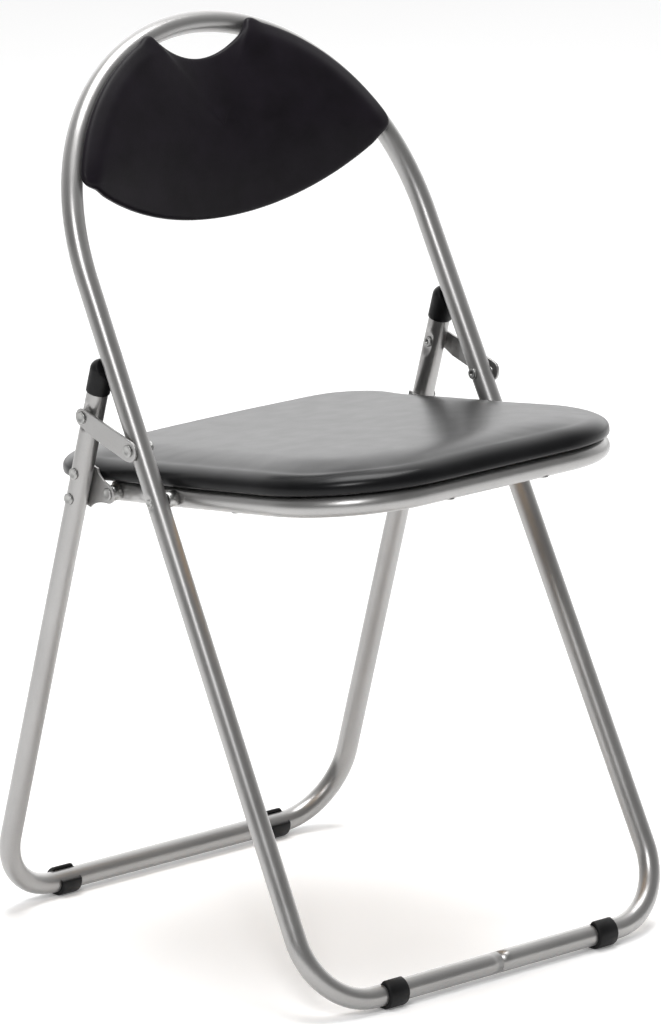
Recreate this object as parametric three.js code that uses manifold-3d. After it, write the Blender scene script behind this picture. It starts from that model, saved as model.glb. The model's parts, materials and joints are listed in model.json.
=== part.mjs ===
// Folding chair with a one-piece hoop front frame, a U-shaped rear leg frame, a padded seat and a
// padded, dished back. Millimetres, +Z up, chair faces -Y, +X is the right side seen from the front.
// The origin is on the floor, in the middle of the footprint.
import * as THREE from 'three';
import { mergeVertices } from 'three/addons/utils/BufferGeometryUtils.js';
import Module from 'manifold-3d';

const wasm = await Module();
wasm.setup();

const DEG = Math.PI / 180;

// ---------- driving dimensions ----------
const TUBE_R = 9.5;            // 19 mm steel tube
const TUBE_WALL = 1.2;
const BORE_R = TUBE_R - TUBE_WALL;
const GAP = 0.3;               // between pieces that touch on the real chair
const AXLE_Z = 12.5;           // height of both floor crossbars above the floor
const HALF_BASE = 216.5;       // crossbar to middle, front and rear
const SEAM_GAP = 0.3;          // butt seam in the middle of the front crossbar
const CORNER_R = 64;           // bend at the bottom corners, on the tube's centre line

const FRONT_LEAN = 27.85 * DEG;
const FRONT_HALF_BOTTOM = 206.8;
const FRONT_HALF_TOP = 197.7;
const ARCH_START = 653;        // distance up the front frame where the hoop's arch begins
const ARCH_TOP = 868.6;
const ARCH_UP_POWER = 2.158;
const ARCH_SIDE_POWER = 1.965;

const REAR_LEAN = 15.98 * DEG;
const REAR_HALF = 200.55;
const LEG_PIVOT_V = 486.5;     // link pivot, measured up the rear leg
const LEG_END_V = 521.3;
const CAP_START_V = 509.5;
const CAP_END_V = 540.5;
const CAP_R = 10.6;
const CAP_DOME = 9;            // height of the cap's rounded top
const CAP_SHOULDER = 6;
const CAP_LEAN_GAP = 0.4;      // between the cap's flat and the front tube
const BRACKET_HOLES = [430.4, 405.5];

const SEAT_SLOPE = 7.6 * DEG;
const SEAT_PIVOT_U = 460;      // seat pivot, measured up the front frame
const SEAT_LINK = 78.6;        // seat pivot to rear-leg pivot
const SEAT_HALF = 173;         // seat tube's centre line
const SEAT_FRONT = 212;        // seat tube's front run ahead of the seat pivot
const SEAT_TUBE_END = -92;
const SEAT_CORNER_R = 88;
const SEAT_SCREW_S = [-42, 70];  // side screws, ahead of the seat pivot
const SEAT_SCREW_X = 55;         // front screws, either side of the middle

const FOLDED_LEG_OFFSET = 21;  // rear leg's axis behind the front tube's when folded

const BOARD_T = 6;             // seat plywood
const SEAT_BOARD_Z = TUBE_R + GAP;
const CUSHION_TOP = 31;
const CUSHION_HALF = 185;
const CUSHION_FRONT = 226;
const CUSHION_REAR = -182;
const CUSHION_ROUND = 14;
const CUSHION_CORNER_FRONT = 108;
const CUSHION_CORNER_REAR = 62;
const SEAT_BOARD_INSET = 6;

const PAD_T = 18;              // back pad with its board
const BACK_BOARD_T = 4;
const BACK_BOARD_INSET = 4;
const PAD_BOTTOM_U = 696.2;
const SLOT_BOTTOM_U = 834;
const SLOT_HALF = 44;
const HORN = [[50, 854], [54, 860], [59, 862.2]];   // corner beside the hand hold
const HORN_END_X = 68;
const PAD_TIP_ARCH = 27 * DEG;
const PAD_TIP = [[181, 746], [179, 742], [174, 738.6]];
const PAD_BOTTOM_HALF = 166;
const PAD_DISH = 38;           // how far the pad's middle is set back from its rim
const PAD_BACK_N = -(TUBE_R + 0.6);
const DISH_HALF_X = 184;
const DISH_HALF_U = 202;
const BACK_SCREW_ARCH = [34 * DEG, 58 * DEG];
const BACK_SCREW_INWARD = 6.5;

const PIN_R = 3;
const PIN_HOLE_R = PIN_R + 0.3;
const SCREW_R = 1.8;
const SCREW_HOLE_R = 2.15;
const SCREW_HEAD_R = 4;
const SCREW_HEAD_T = 2.2;
const BUSH_R = 7;
const DRILL_LENGTH = 40;
const SLEEVE_LENGTH = 56;
const LINK_T = 2.5;
const LINK_X = REAR_HALF + TUBE_R + 1.3;    // inner face of each side link
const BRACKET_T = 2;
const BRACKET_X = REAR_HALF - TUBE_R - 0.6;  // outer face of each leg bracket
const PAD_FOOT_R = 13;
const PAD_FOOT_W = 22;
const PAD_FOOT_OPEN = 96 * DEG;  // opening of the clip-on foot pads
const FRONT_FOOT_OPEN_AT = 50 * DEG;
const REAR_FOOT_OPEN_AT = 125 * DEG;
const FRONT_FOOT_X = 124;
const REAR_FOOT_X = 125;

// ---------- pivots worked out from the dimensions above ----------
const legAcross = (v, y) => ({
  y: HALF_BASE - v * Math.sin(REAR_LEAN) + y * Math.cos(REAR_LEAN),
  z: AXLE_Z + v * Math.cos(REAR_LEAN) + y * Math.sin(REAR_LEAN),
});
const seatPivot = {
  y: -HALF_BASE + SEAT_PIVOT_U * Math.sin(FRONT_LEAN),
  z: AXLE_Z + SEAT_PIVOT_U * Math.cos(FRONT_LEAN),
};
const legPivot = {
  y: seatPivot.y + SEAT_LINK * Math.cos(SEAT_SLOPE),
  z: seatPivot.z - SEAT_LINK * Math.sin(SEAT_SLOPE),
};
const toLeg = (p) => {
  const dy = p.y - HALF_BASE;
  const dz = p.z - AXLE_Z;
  return {
    v: -dy * Math.sin(REAR_LEAN) + dz * Math.cos(REAR_LEAN),
    y: dy * Math.cos(REAR_LEAN) + dz * Math.sin(REAR_LEAN),
  };
};
const legPivotLocal = toLeg(legPivot);
const linkOnLeg = legAcross(LEG_PIVOT_V, 0);
const linkPivotU = findLinkPivot();
const linkOnFront = {
  y: -HALF_BASE + linkPivotU * Math.sin(FRONT_LEAN),
  z: AXLE_Z + linkPivotU * Math.cos(FRONT_LEAN),
};

const linkLength = Math.hypot(linkOnLeg.y - linkOnFront.y, linkOnLeg.z - linkOnFront.z);

// The link's fixed pivot lies where it is equally far from the leg pivot with the chair open
// and with the chair folded flat.
function findLinkPivot() {
  const dy = linkOnLeg.y - seatPivot.y;
  const dz = linkOnLeg.z - seatPivot.z;
  const openU = dy * Math.sin(FRONT_LEAN) + dz * Math.cos(FRONT_LEAN);
  const openN = dy * Math.cos(FRONT_LEAN) - dz * Math.sin(FRONT_LEAN);
  const pivotN = FOLDED_LEG_OFFSET + legPivotLocal.y;
  const pivotU = -Math.sqrt(SEAT_LINK * SEAT_LINK - pivotN * pivotN);
  const foldU = pivotU + LEG_PIVOT_V - legPivotLocal.v;
  const foldN = FOLDED_LEG_OFFSET;
  const openSq = openU * openU + openN * openN;
  const foldSq = foldU * foldU + foldN * foldN;
  return SEAT_PIVOT_U + (openSq - foldSq) / (2 * (openU - foldU));
}

// ---------- materials ----------
const finish = (color, roughness, metalness) => {
  return new THREE.MeshStandardMaterial({ color, roughness, metalness });
};
const STEEL = finish(0xa4a6a6, 0.38, 0.7);
const ZINC = finish(0xb6b8ba, 0.35, 0.9);
const VINYL = finish(0x17161a, 0.5, 0);
const PLASTIC = finish(0x141416, 0.6, 0);
const PLY = finish(0xb98d5b, 0.75, 0);

// ---------- mesh helpers ----------
function solidOf(geometry) {
  const bare = geometry.clone();
  bare.deleteAttribute('normal');
  bare.deleteAttribute('uv');
  const welded = mergeVertices(bare, 1e-4);
  const vertProperties = new Float32Array(welded.attributes.position.array);
  const triVerts = new Uint32Array(welded.index.array);
  return new wasm.Manifold(new wasm.Mesh({ numProp: 3, vertProperties, triVerts }));
}

function geometryOf(solid) {
  const mesh = solid.getMesh();
  const geometry = new THREE.BufferGeometry();
  geometry.setAttribute('position', new THREE.BufferAttribute(mesh.vertProperties, 3));
  geometry.setIndex(new THREE.BufferAttribute(mesh.triVerts, 1));
  geometry.computeVertexNormals();
  return geometry;
}

function meshOf(name, geometry, material) {
  const mesh = new THREE.Mesh(geometry, material);
  mesh.name = name;
  return mesh;
}

function cylinder(radius, length, sides = 16) {
  return new THREE.CylinderGeometry(radius, radius, length, sides);
}

function drillX(x, y, z, radius, length) {
  const g = cylinder(radius, length);
  g.rotateZ(Math.PI / 2);
  g.translate(x, y, z);
  return solidOf(g);
}

function drillY(x, y, z, radius, length) {
  const g = cylinder(radius, length);
  g.translate(x, y, z);
  return solidOf(g);
}

function drillZ(x, y, z, radius, length) {
  const g = cylinder(radius, length);
  g.rotateX(Math.PI / 2);
  g.translate(x, y, z);
  return solidOf(g);
}

function cut(geometry, tools) {
  let solid = solidOf(geometry);
  for (const tool of tools) {
    solid = solid.subtract(tool);
  }
  return geometryOf(solid);
}

// A line given by its own points and tangents, so rings of the sweep sit only where they are needed.
class PointedPath extends THREE.Curve {
  constructor(points, tangents) {
    super();
    this.points = points;
    this.tangents = tangents;
  }

  pick(list, t) {
    return list[Math.round(t * (list.length - 1))].clone();
  }

  getPoint(t) {
    return this.pick(this.points, t);
  }

  getPointAt(t) {
    return this.pick(this.points, t);
  }

  getTangentAt(t) {
    return this.pick(this.tangents, t);
  }
}

function ring(outer, inner, outerSides, innerSides) {
  const shape = new THREE.Shape();
  for (let i = 0; i < outerSides; i += 1) {
    const a = (i / outerSides) * 2 * Math.PI;
    const x = outer * Math.cos(a);
    const y = outer * Math.sin(a);
    if (i === 0) shape.moveTo(x, y);
    else shape.lineTo(x, y);
  }
  shape.closePath();
  if (inner > 0) {
    const hole = new THREE.Path();
    for (let i = 0; i < innerSides; i += 1) {
      const a = (-i / innerSides) * 2 * Math.PI;
      const x = inner * Math.cos(a);
      const y = inner * Math.sin(a);
      if (i === 0) hole.moveTo(x, y);
      else hole.lineTo(x, y);
    }
    hole.closePath();
    shape.holes.push(hole);
  }
  return shape;
}

function sweep(stations) {
  const points = stations.map((s) => s.p);
  const tangents = stations.map((s) => s.t.clone().normalize());
  const path = new PointedPath(points, tangents);
  const shape = ring(TUBE_R, BORE_R, 16, 12);
  const steps = points.length - 1;
  return new THREE.ExtrudeGeometry(shape, { steps, bevelEnabled: false, extrudePath: path });
}

const station = (x, z, tx, tz) => ({
  p: new THREE.Vector3(x, 0, z),
  t: new THREE.Vector3(tx, 0, tz),
});

// Right half of a bottom crossbar and its corner, from the seam outwards.
function crossbarHalf(half) {
  const list = [station(SEAM_GAP / 2, 0, 1, 0)];
  const steps = 7;
  for (let i = 0; i <= steps; i += 1) {
    const a = (i / steps) * (Math.PI / 2);
    const x = half - CORNER_R + CORNER_R * Math.sin(a);
    const z = CORNER_R - CORNER_R * Math.cos(a);
    list.push(station(x, z, Math.cos(a), Math.sin(a)));
  }
  return list;
}

const archX = (a) => FRONT_HALF_TOP * Math.pow(Math.cos(a), 2 / ARCH_SIDE_POWER);
const archU = (a) => {
  return ARCH_START + (ARCH_TOP - ARCH_START) * Math.pow(Math.sin(a), 2 / ARCH_UP_POWER);
};

// The left half of a path that runs up the right side and comes back down the left.
function mirroredBack(half) {
  return half.slice().reverse().map((q) => ({
    p: new THREE.Vector3(-q.p.x, q.p.y, q.p.z),
    t: new THREE.Vector3(q.t.x, -q.t.y, -q.t.z),
  }));
}

// ---------- front frame ----------
function frontPath() {
  const half = crossbarHalf(FRONT_HALF_BOTTOM);
  const steps = 15;
  for (let i = 0; i < steps; i += 1) {
    const a = (i / steps) * (Math.PI / 2);
    const e = 1e-3;
    const lo = Math.max(a - e, 1e-6);
    const hi = a + e;
    const tx = i === 0 ? 0 : archX(hi) - archX(lo);
    const tz = archU(hi) - archU(lo);
    half.push(station(archX(a), archU(a), tx, tz));
  }
  const top = station(0, ARCH_TOP, -1, 0);
  return half.concat([top], mirroredBack(half));
}

const frontHalfAt = (u) => {
  const slope = (FRONT_HALF_TOP - FRONT_HALF_BOTTOM) / (ARCH_START - CORNER_R);
  return FRONT_HALF_BOTTOM + slope * (u - CORNER_R);
};

// Back pad fixing points: on the hoop, a little inside its centre line.
function backScrewSpots() {
  const spots = [];
  for (const a of BACK_SCREW_ARCH) {
    const e = 1e-3;
    const dx = archX(a + e) - archX(a - e);
    const du = archU(a + e) - archU(a - e);
    const len = Math.hypot(dx, du);
    const x = archX(a) - (BACK_SCREW_INWARD * du) / len;
    const u = archU(a) + (BACK_SCREW_INWARD * dx) / len;
    spots.push({ x, u });
    spots.push({ x: -x, u });
  }
  return spots;
}

function frontFrameTube() {
  const tools = [];
  for (const side of [-1, 1]) {
    for (const u of [SEAT_PIVOT_U, linkPivotU]) {
      tools.push(drillX(side * frontHalfAt(u), 0, u, PIN_HOLE_R, DRILL_LENGTH));
    }
  }
  for (const spot of backScrewSpots()) {
    tools.push(drillY(spot.x, 0, spot.u, SCREW_HOLE_R, DRILL_LENGTH));
  }
  return cut(sweep(frontPath()), tools);
}

function sleeve() {
  const g = new THREE.ExtrudeGeometry(ring(BORE_R - 0.4, BORE_R - 1.6, 12, 12), {
    depth: SLEEVE_LENGTH,
    bevelEnabled: false,
  });
  g.translate(0, 0, -SLEEVE_LENGTH / 2);
  g.rotateY(Math.PI / 2);
  return g;
}

// A pin along X: outer head, shank, inner head. Heads are given by their own reach and radius.
function rivet(parts) {
  const { outer, inner, shank, headR, tailR, headT, tailT } = parts;
  const profile = [];
  profile.push(new THREE.Vector2(0, inner - tailT));
  if (tailT > 0) {
    profile.push(new THREE.Vector2(tailR - 0.6, inner - tailT));
    profile.push(new THREE.Vector2(tailR, inner - tailT + 0.6));
    profile.push(new THREE.Vector2(tailR, inner));
  }
  profile.push(new THREE.Vector2(shank, inner));
  profile.push(new THREE.Vector2(shank, outer));
  if (headT > 0) {
    const soft = Math.min(0.8, headT * 0.5);
    profile.push(new THREE.Vector2(headR, outer));
    profile.push(new THREE.Vector2(headR, outer + headT - soft));
    profile.push(new THREE.Vector2(headR - soft, outer + headT));
    profile.push(new THREE.Vector2(0, outer + headT));
  } else {
    profile.push(new THREE.Vector2(0, outer));
  }
  const g = new THREE.LatheGeometry(profile, 16);
  g.rotateZ(-Math.PI / 2);
  return g;
}

function sided(geometry, side) {
  if (side < 0) geometry.rotateZ(Math.PI);
  return geometry;
}

function bush(length) {
  const g = new THREE.ExtrudeGeometry(ring(BUSH_R, PIN_HOLE_R + 0.1, 16, 12), {
    depth: length,
    bevelEnabled: false,
  });
  g.rotateY(Math.PI / 2);
  return g;
}

function footPad(openAt) {
  const inner = TUBE_R + GAP;
  const steps = 20;
  const shape = new THREE.Shape();
  const flat = (r, a) => [r * Math.cos(a), Math.max(r * Math.sin(a), -AXLE_Z)];
  const from = openAt + PAD_FOOT_OPEN / 2;
  const to = openAt - PAD_FOOT_OPEN / 2 + 2 * Math.PI;
  for (let i = 0; i <= steps; i += 1) {
    const a = from + ((to - from) * i) / steps;
    const [y, z] = flat(PAD_FOOT_R, a);
    if (i === 0) shape.moveTo(y, z);
    else shape.lineTo(y, z);
  }
  for (let i = steps; i >= 0; i -= 1) {
    const a = from + ((to - from) * i) / steps;
    shape.lineTo(inner * Math.cos(a), inner * Math.sin(a));
  }
  shape.closePath();
  const g = new THREE.ExtrudeGeometry(shape, { depth: PAD_FOOT_W, bevelEnabled: false });
  g.translate(0, 0, -PAD_FOOT_W / 2);
  // shape's plane (y, z) is turned to stand across the X axis
  g.applyMatrix4(new THREE.Matrix4().set(0, 0, 1, 0, 1, 0, 0, 0, 0, 1, 0, 0, 0, 0, 0, 1));
  return g;
}

// ---------- back pad ----------
const padBottomU = (x) => {
  const k = x / 100;
  return PAD_BOTTOM_U + 11.4 * k * k + 0.8 * k ** 4;
};
const slotU = (x) => SLOT_BOTTOM_U + 0.0071 * x * x;

function padOutline(inset) {
  const right = [];
  for (let i = 0; i <= 6; i += 1) {
    const x = (i / 6) * SLOT_HALF;
    right.push([x, slotU(x)]);
  }
  right.push(...HORN);
  const first = Math.acos(Math.pow(HORN_END_X / FRONT_HALF_TOP, ARCH_SIDE_POWER / 2));
  for (let i = 0; i <= 10; i += 1) {
    const a = first + ((PAD_TIP_ARCH - first) * i) / 10;
    right.push([archX(a), archU(a)]);
  }
  right.push(...PAD_TIP);
  for (let i = 1; i <= 8; i += 1) {
    const x = PAD_BOTTOM_HALF * (1 - i / 8);
    right.push([x, padBottomU(x)]);
  }
  const left = right.slice(1, -1).reverse().map(([x, u]) => [-x, u]);
  return offsetInward(right.concat(left), inset);
}

// Moves every corner of a clockwise outline inwards.
function offsetInward(points, inset) {
  const n = points.length;
  return points.map(([x, u], i) => {
    const a = points[(i + n - 1) % n];
    const b = points[(i + 1) % n];
    const len = Math.hypot(b[0] - a[0], b[1] - a[1]);
    const nx = (b[1] - a[1]) / len;
    const nu = -(b[0] - a[0]) / len;
    return [x + nx * inset, u + nu * inset];
  });
}

function shapeOf(points) {
  const shape = new THREE.Shape();
  points.forEach(([x, y], i) => {
    if (i === 0) shape.moveTo(x, y);
    else shape.lineTo(x, y);
  });
  shape.closePath();
  return shape;
}

function padPrism(inset) {
  const depth = 160;
  const g = new THREE.ExtrudeGeometry(shapeOf(padOutline(inset)), { depth, bevelEnabled: false });
  g.translate(0, 0, -depth / 2);
  g.rotateX(Math.PI / 2);
  return solidOf(g);
}

// A sheet set back in its middle, between two depths measured from the hoop's plane.
function dishedSlab(front, back) {
  const width = 400;
  const height = 200;
  const g = new THREE.BoxGeometry(width, back - front, height, 20, 1, 10);
  g.translate(0, (front + back) / 2, (PAD_BOTTOM_U + ARCH_TOP) / 2);
  const pos = g.attributes.position;
  for (let i = 0; i < pos.count; i += 1) {
    const x = pos.getX(i) / DISH_HALF_X;
    const u = Math.max(0, pos.getZ(i) - ARCH_START) / DISH_HALF_U;
    const dish = Math.max(0, 1 - x * x - u * u);
    pos.setY(i, pos.getY(i) + PAD_DISH * dish);
  }
  return solidOf(g);
}

function backBoard() {
  let solid = dishedSlab(PAD_BACK_N - BACK_BOARD_T, PAD_BACK_N).intersect(padPrism(BACK_BOARD_INSET));
  for (const spot of backScrewSpots()) {
    solid = solid.subtract(drillY(spot.x, PAD_BACK_N, spot.u, SCREW_HOLE_R, DRILL_LENGTH));
  }
  return geometryOf(solid);
}

function backCushion() {
  const body = dishedSlab(PAD_BACK_N - PAD_T, PAD_BACK_N).intersect(padPrism(0));
  const room = dishedSlab(PAD_BACK_N - BACK_BOARD_T - GAP, PAD_BACK_N + 8).intersect(
    padPrism(BACK_BOARD_INSET - GAP),
  );
  return geometryOf(body.subtract(room));
}

function screw(headAt, tipAt) {
  const headT = SCREW_HEAD_T;
  const profile = [
    new THREE.Vector2(0, tipAt),
    new THREE.Vector2(SCREW_R, tipAt + 0.8),
    new THREE.Vector2(SCREW_R, headAt),
    new THREE.Vector2(SCREW_HEAD_R, headAt),
    new THREE.Vector2(3.4, headAt + headT * 0.6),
    new THREE.Vector2(1.6, headAt + headT),
    new THREE.Vector2(0, headAt + headT),
  ];
  return new THREE.LatheGeometry(profile, 12);
}

// ---------- seat ----------
function seatPath() {
  const half = [];
  const at = (x, s, tx, ts) => ({
    p: new THREE.Vector3(x, -s, 0),
    t: new THREE.Vector3(tx, -ts, 0),
  });
  half.push(at(SEAT_HALF, SEAT_TUBE_END, 0, 1));
  const steps = 9;
  for (let i = 0; i <= steps; i += 1) {
    const a = (i / steps) * (Math.PI / 2);
    const x = SEAT_HALF - SEAT_CORNER_R + SEAT_CORNER_R * Math.cos(a);
    const s = SEAT_FRONT - SEAT_CORNER_R + SEAT_CORNER_R * Math.sin(a);
    half.push(at(x, s, -Math.sin(a), Math.cos(a)));
  }
  const other = half.slice().reverse().map((q) => ({
    p: new THREE.Vector3(-q.p.x, q.p.y, 0),
    t: new THREE.Vector3(q.t.x, -q.t.y, 0),
  }));
  return half.concat(other);
}

function seatScrewSpots() {
  const spots = [];
  for (const side of [-1, 1]) {
    for (const s of SEAT_SCREW_S) spots.push({ x: side * SEAT_HALF, s });
    spots.push({ x: side * SEAT_SCREW_X, s: SEAT_FRONT });
  }
  return spots;
}

function seatFrameTube() {
  const tools = [];
  for (const side of [-1, 1]) {
    tools.push(drillX(side * SEAT_HALF, 0, 0, PIN_HOLE_R, DRILL_LENGTH));
    tools.push(drillX(side * SEAT_HALF, SEAT_LINK, 0, PIN_HOLE_R, DRILL_LENGTH));
  }
  for (const spot of seatScrewSpots()) {
    tools.push(drillZ(spot.x, -spot.s, 0, SCREW_HOLE_R, DRILL_LENGTH));
  }
  return cut(sweep(seatPath()), tools);
}

// Plan of the seat: straight sides, wide round front corners, smaller rear ones.
function seatOutline(inset) {
  const half = CUSHION_HALF - inset;
  const front = CUSHION_FRONT - inset;
  const rear = CUSHION_REAR + inset;
  const rf = CUSHION_CORNER_FRONT - inset;
  const rr = CUSHION_CORNER_REAR - inset;
  const points = [];
  const corner = (cx, cs, r, from) => {
    for (let i = 0; i <= 6; i += 1) {
      const a = from + (i / 6) * (Math.PI / 2);
      points.push([cx + r * Math.cos(a), -(cs + r * Math.sin(a))]);
    }
  };
  corner(half - rf, front - rf, rf, 0);
  corner(-half + rf, front - rf, rf, Math.PI / 2);
  corner(-half + rr, rear + rr, rr, Math.PI);
  corner(half - rr, rear + rr, rr, 1.5 * Math.PI);
  return points;
}

function seatSlab(inset, low, high) {
  const g = new THREE.ExtrudeGeometry(shapeOf(seatOutline(inset)), {
    depth: high - low,
    bevelEnabled: false,
  });
  g.translate(0, 0, low);
  return g;
}

function seatBoard() {
  const tools = seatScrewSpots().map((spot) => {
    return drillZ(spot.x, -spot.s, SEAT_BOARD_Z, SCREW_HOLE_R, DRILL_LENGTH);
  });
  return cut(seatSlab(SEAT_BOARD_INSET, SEAT_BOARD_Z, SEAT_BOARD_Z + BOARD_T), tools);
}

function seatCushion() {
  const g = new THREE.ExtrudeGeometry(shapeOf(seatOutline(CUSHION_ROUND)), {
    depth: CUSHION_TOP - CUSHION_ROUND,
    bevelEnabled: true,
    bevelThickness: CUSHION_ROUND,
    bevelSize: CUSHION_ROUND,
    bevelSegments: 3,
    curveSegments: 1,
  });
  const below = seatSlab(-CUSHION_ROUND, -CUSHION_TOP, SEAT_BOARD_Z + 0.05);
  const room = seatSlab(SEAT_BOARD_INSET - GAP, 0, SEAT_BOARD_Z + BOARD_T + GAP);
  return cut(g, [solidOf(below), solidOf(room)]);
}

// ---------- rear legs ----------
function rearPath() {
  const half = crossbarHalf(REAR_HALF).slice(1);
  half.push(station(REAR_HALF, LEG_END_V, 0, 1));
  const left = half.slice().reverse().map((q) => ({
    p: new THREE.Vector3(-q.p.x, q.p.y, q.p.z),
    t: new THREE.Vector3(q.t.x, q.t.y, -q.t.z),
  }));
  return left.concat(half);
}

function rearLegTube() {
  const tools = [];
  for (const side of [-1, 1]) {
    for (const v of [LEG_PIVOT_V, ...BRACKET_HOLES]) {
      tools.push(drillX(side * REAR_HALF, 0, v, PIN_HOLE_R, DRILL_LENGTH));
    }
  }
  return cut(sweep(rearPath()), tools);
}

function legCap(side) {
  const inner = TUBE_R + GAP;
  const roof = LEG_END_V + GAP;
  const profile = [
    new THREE.Vector2(inner, CAP_START_V),
    new THREE.Vector2(CAP_R, CAP_START_V),
    new THREE.Vector2(CAP_R, CAP_END_V - CAP_DOME),
  ];
  for (let i = 1; i <= 5; i += 1) {
    const a = (i / 5) * (Math.PI / 2);
    const r = CAP_R - CAP_SHOULDER + CAP_SHOULDER * Math.cos(a);
    const v = CAP_END_V - CAP_DOME + CAP_DOME * Math.sin(a);
    profile.push(new THREE.Vector2(i === 5 ? CAP_SHOULDER / 2 : r, v));
  }
  profile.push(new THREE.Vector2(0, CAP_END_V));
  profile.push(new THREE.Vector2(0, roof));
  profile.push(new THREE.Vector2(inner, roof));
  profile.push(new THREE.Vector2(inner, CAP_START_V));
  const g = new THREE.LatheGeometry(profile, 20);
  g.rotateX(Math.PI / 2);
  // flat on the cap's front side, which leans on the front tube when the chair is open
  const block = 60;
  const flat = new THREE.BoxGeometry(block, block, 200);
  flat.translate(0, TUBE_R + CAP_LEAN_GAP - block / 2, 0);
  flat.rotateX(-(FRONT_LEAN + REAR_LEAN));
  const meet = HALF_BASE * 2 * Math.cos(FRONT_LEAN) / Math.sin(FRONT_LEAN + REAR_LEAN);
  flat.translate(0, 0, meet);
  g.translate(side * REAR_HALF, 0, 0);
  flat.translate(side * REAR_HALF, 0, 0);
  return cut(g, [solidOf(flat)]);
}

function legBracket(side) {
  const ear = legPivotLocal;
  const earR = 8.6;
  const top = 434.5;
  const bottom = 398;
  const rearEdge = 6.5;
  const frontEdge = -8;
  const shape = new THREE.Shape();
  shape.moveTo(rearEdge, bottom);
  shape.lineTo(rearEdge, top);
  shape.lineTo(frontEdge, top + 1.5);
  shape.quadraticCurveTo(frontEdge - 3, top - 6.5, ear.y - 1, ear.v + earR);
  shape.absarc(ear.y, ear.v, earR, 100 * DEG, 262 * DEG, false);
  shape.quadraticCurveTo(frontEdge - 4, bottom + 8, frontEdge, bottom - 0.5);
  shape.closePath();
  const holes = [[0, BRACKET_HOLES[0]], [0, BRACKET_HOLES[1]], [ear.y, ear.v]];
  for (const [y, v] of holes) {
    const hole = new THREE.Path();
    hole.absarc(y, v, PIN_HOLE_R, 0, 2 * Math.PI, true);
    shape.holes.push(hole);
  }
  return plateAcrossX(shape, side * BRACKET_X, -side, BRACKET_T);
}

function withoutRepeats(points) {
  const n = points.length;
  const apart = points.filter((p, i) => p.distanceTo(points[(i + n - 1) % n]) > 0.01);
  return apart.map((p) => [p.x, p.y]);
}

// Turns a plate drawn in (y, z) to stand across X, growing from one face in a direction.
function plateAcrossX(outline, face, direction, thickness) {
  const drawn = outline.extractPoints(8);
  if (THREE.ShapeUtils.isClockWise(drawn.shape)) drawn.shape.reverse();
  const shape = shapeOf(withoutRepeats(drawn.shape));
  for (const hole of drawn.holes) {
    shape.holes.push(new THREE.Path(withoutRepeats(hole).map(([x, y]) => new THREE.Vector2(x, y))));
  }
  const g = new THREE.ExtrudeGeometry(shape, { depth: thickness, bevelEnabled: false });
  g.applyMatrix4(new THREE.Matrix4().set(0, 0, 1, 0, 1, 0, 0, 0, 0, 1, 0, 0, 0, 0, 0, 1));
  g.translate(direction > 0 ? face : face - thickness, 0, 0);
  return g;
}

// Side link, drawn with its fixed pivot at the origin and its far pivot up the local Z axis.
function linkPlate(side) {
  const length = linkLength;
  const shape = new THREE.Shape();
  const low = 10.5;
  const up = 9;
  shape.moveTo(-up, 0);
  shape.lineTo(-8, length);
  shape.absarc(0, length, 8, Math.PI, 0, true);
  shape.lineTo(8.6, length - 5);
  shape.lineTo(low, length - 15);
  shape.lineTo(low, 4);
  shape.quadraticCurveTo(low, -9.5, 0, -9.5);
  shape.quadraticCurveTo(-up, -9, -up, 0);
  shape.closePath();
  for (const z of [0, length]) {
    const hole = new THREE.Path();
    hole.absarc(0, z, PIN_HOLE_R, 0, 2 * Math.PI, true);
    shape.holes.push(hole);
  }
  return plateAcrossX(shape, side * LINK_X, side, LINK_T);
}

// ---------- assembly ----------
function addFrontFrame(root) {
  const frame = new THREE.Group();
  frame.position.set(0, -HALF_BASE, AXLE_Z);
  frame.rotation.x = -FRONT_LEAN;
  frame.add(meshOf('front_frame_tube', frontFrameTube(), STEEL));
  frame.add(meshOf('front_crossbar_sleeve', sleeve(), ZINC));
  frame.add(meshOf('back_board', backBoard(), PLY));
  frame.add(meshOf('back_cushion', backCushion(), VINYL));
  backScrewSpots().forEach((spot, i) => {
    const g = screw(TUBE_R + GAP, PAD_BACK_N - BACK_BOARD_T + 0.3);
    const mesh = meshOf(`back_screw_${i + 1}`, g, ZINC);
    mesh.position.set(spot.x, 0, spot.u);
    frame.add(mesh);
  });
  for (const [word, side] of [['left', -1], ['right', 1]]) {
    const seatX = frontHalfAt(SEAT_PIVOT_U);
    const seatPin = rivet({
      outer: seatX + TUBE_R + GAP,
      inner: SEAT_HALF - TUBE_R - GAP,
      shank: PIN_R,
      headR: 4,
      tailR: 5,
      headT: 1.6,
      tailT: 1.8,
    });
    const pin = meshOf(`seat_pivot_rivet_${word}`, sided(seatPin, side), ZINC);
    pin.position.set(0, 0, SEAT_PIVOT_U);
    frame.add(pin);

    const room = seatX - TUBE_R - (SEAT_HALF + TUBE_R) - 2 * GAP;
    const seatBush = bush(room);
    seatBush.translate(SEAT_HALF + TUBE_R + GAP, 0, 0);
    const spacer = meshOf(`seat_pivot_bush_${word}`, sided(seatBush, side), PLASTIC);
    spacer.position.set(0, 0, SEAT_PIVOT_U);
    frame.add(spacer);

    const linkX = frontHalfAt(linkPivotU);
    const linkPin = rivet({
      outer: LINK_X + LINK_T + 0.2,
      inner: linkX - TUBE_R - GAP,
      shank: PIN_R,
      headR: 5.3,
      tailR: 4.8,
      headT: 1.9,
      tailT: 1.4,
    });
    const link = meshOf(`link_rivet_${word}`, sided(linkPin, side), ZINC);
    link.position.set(0, 0, linkPivotU);
    frame.add(link);
  }
  root.add(frame);
}

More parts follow.
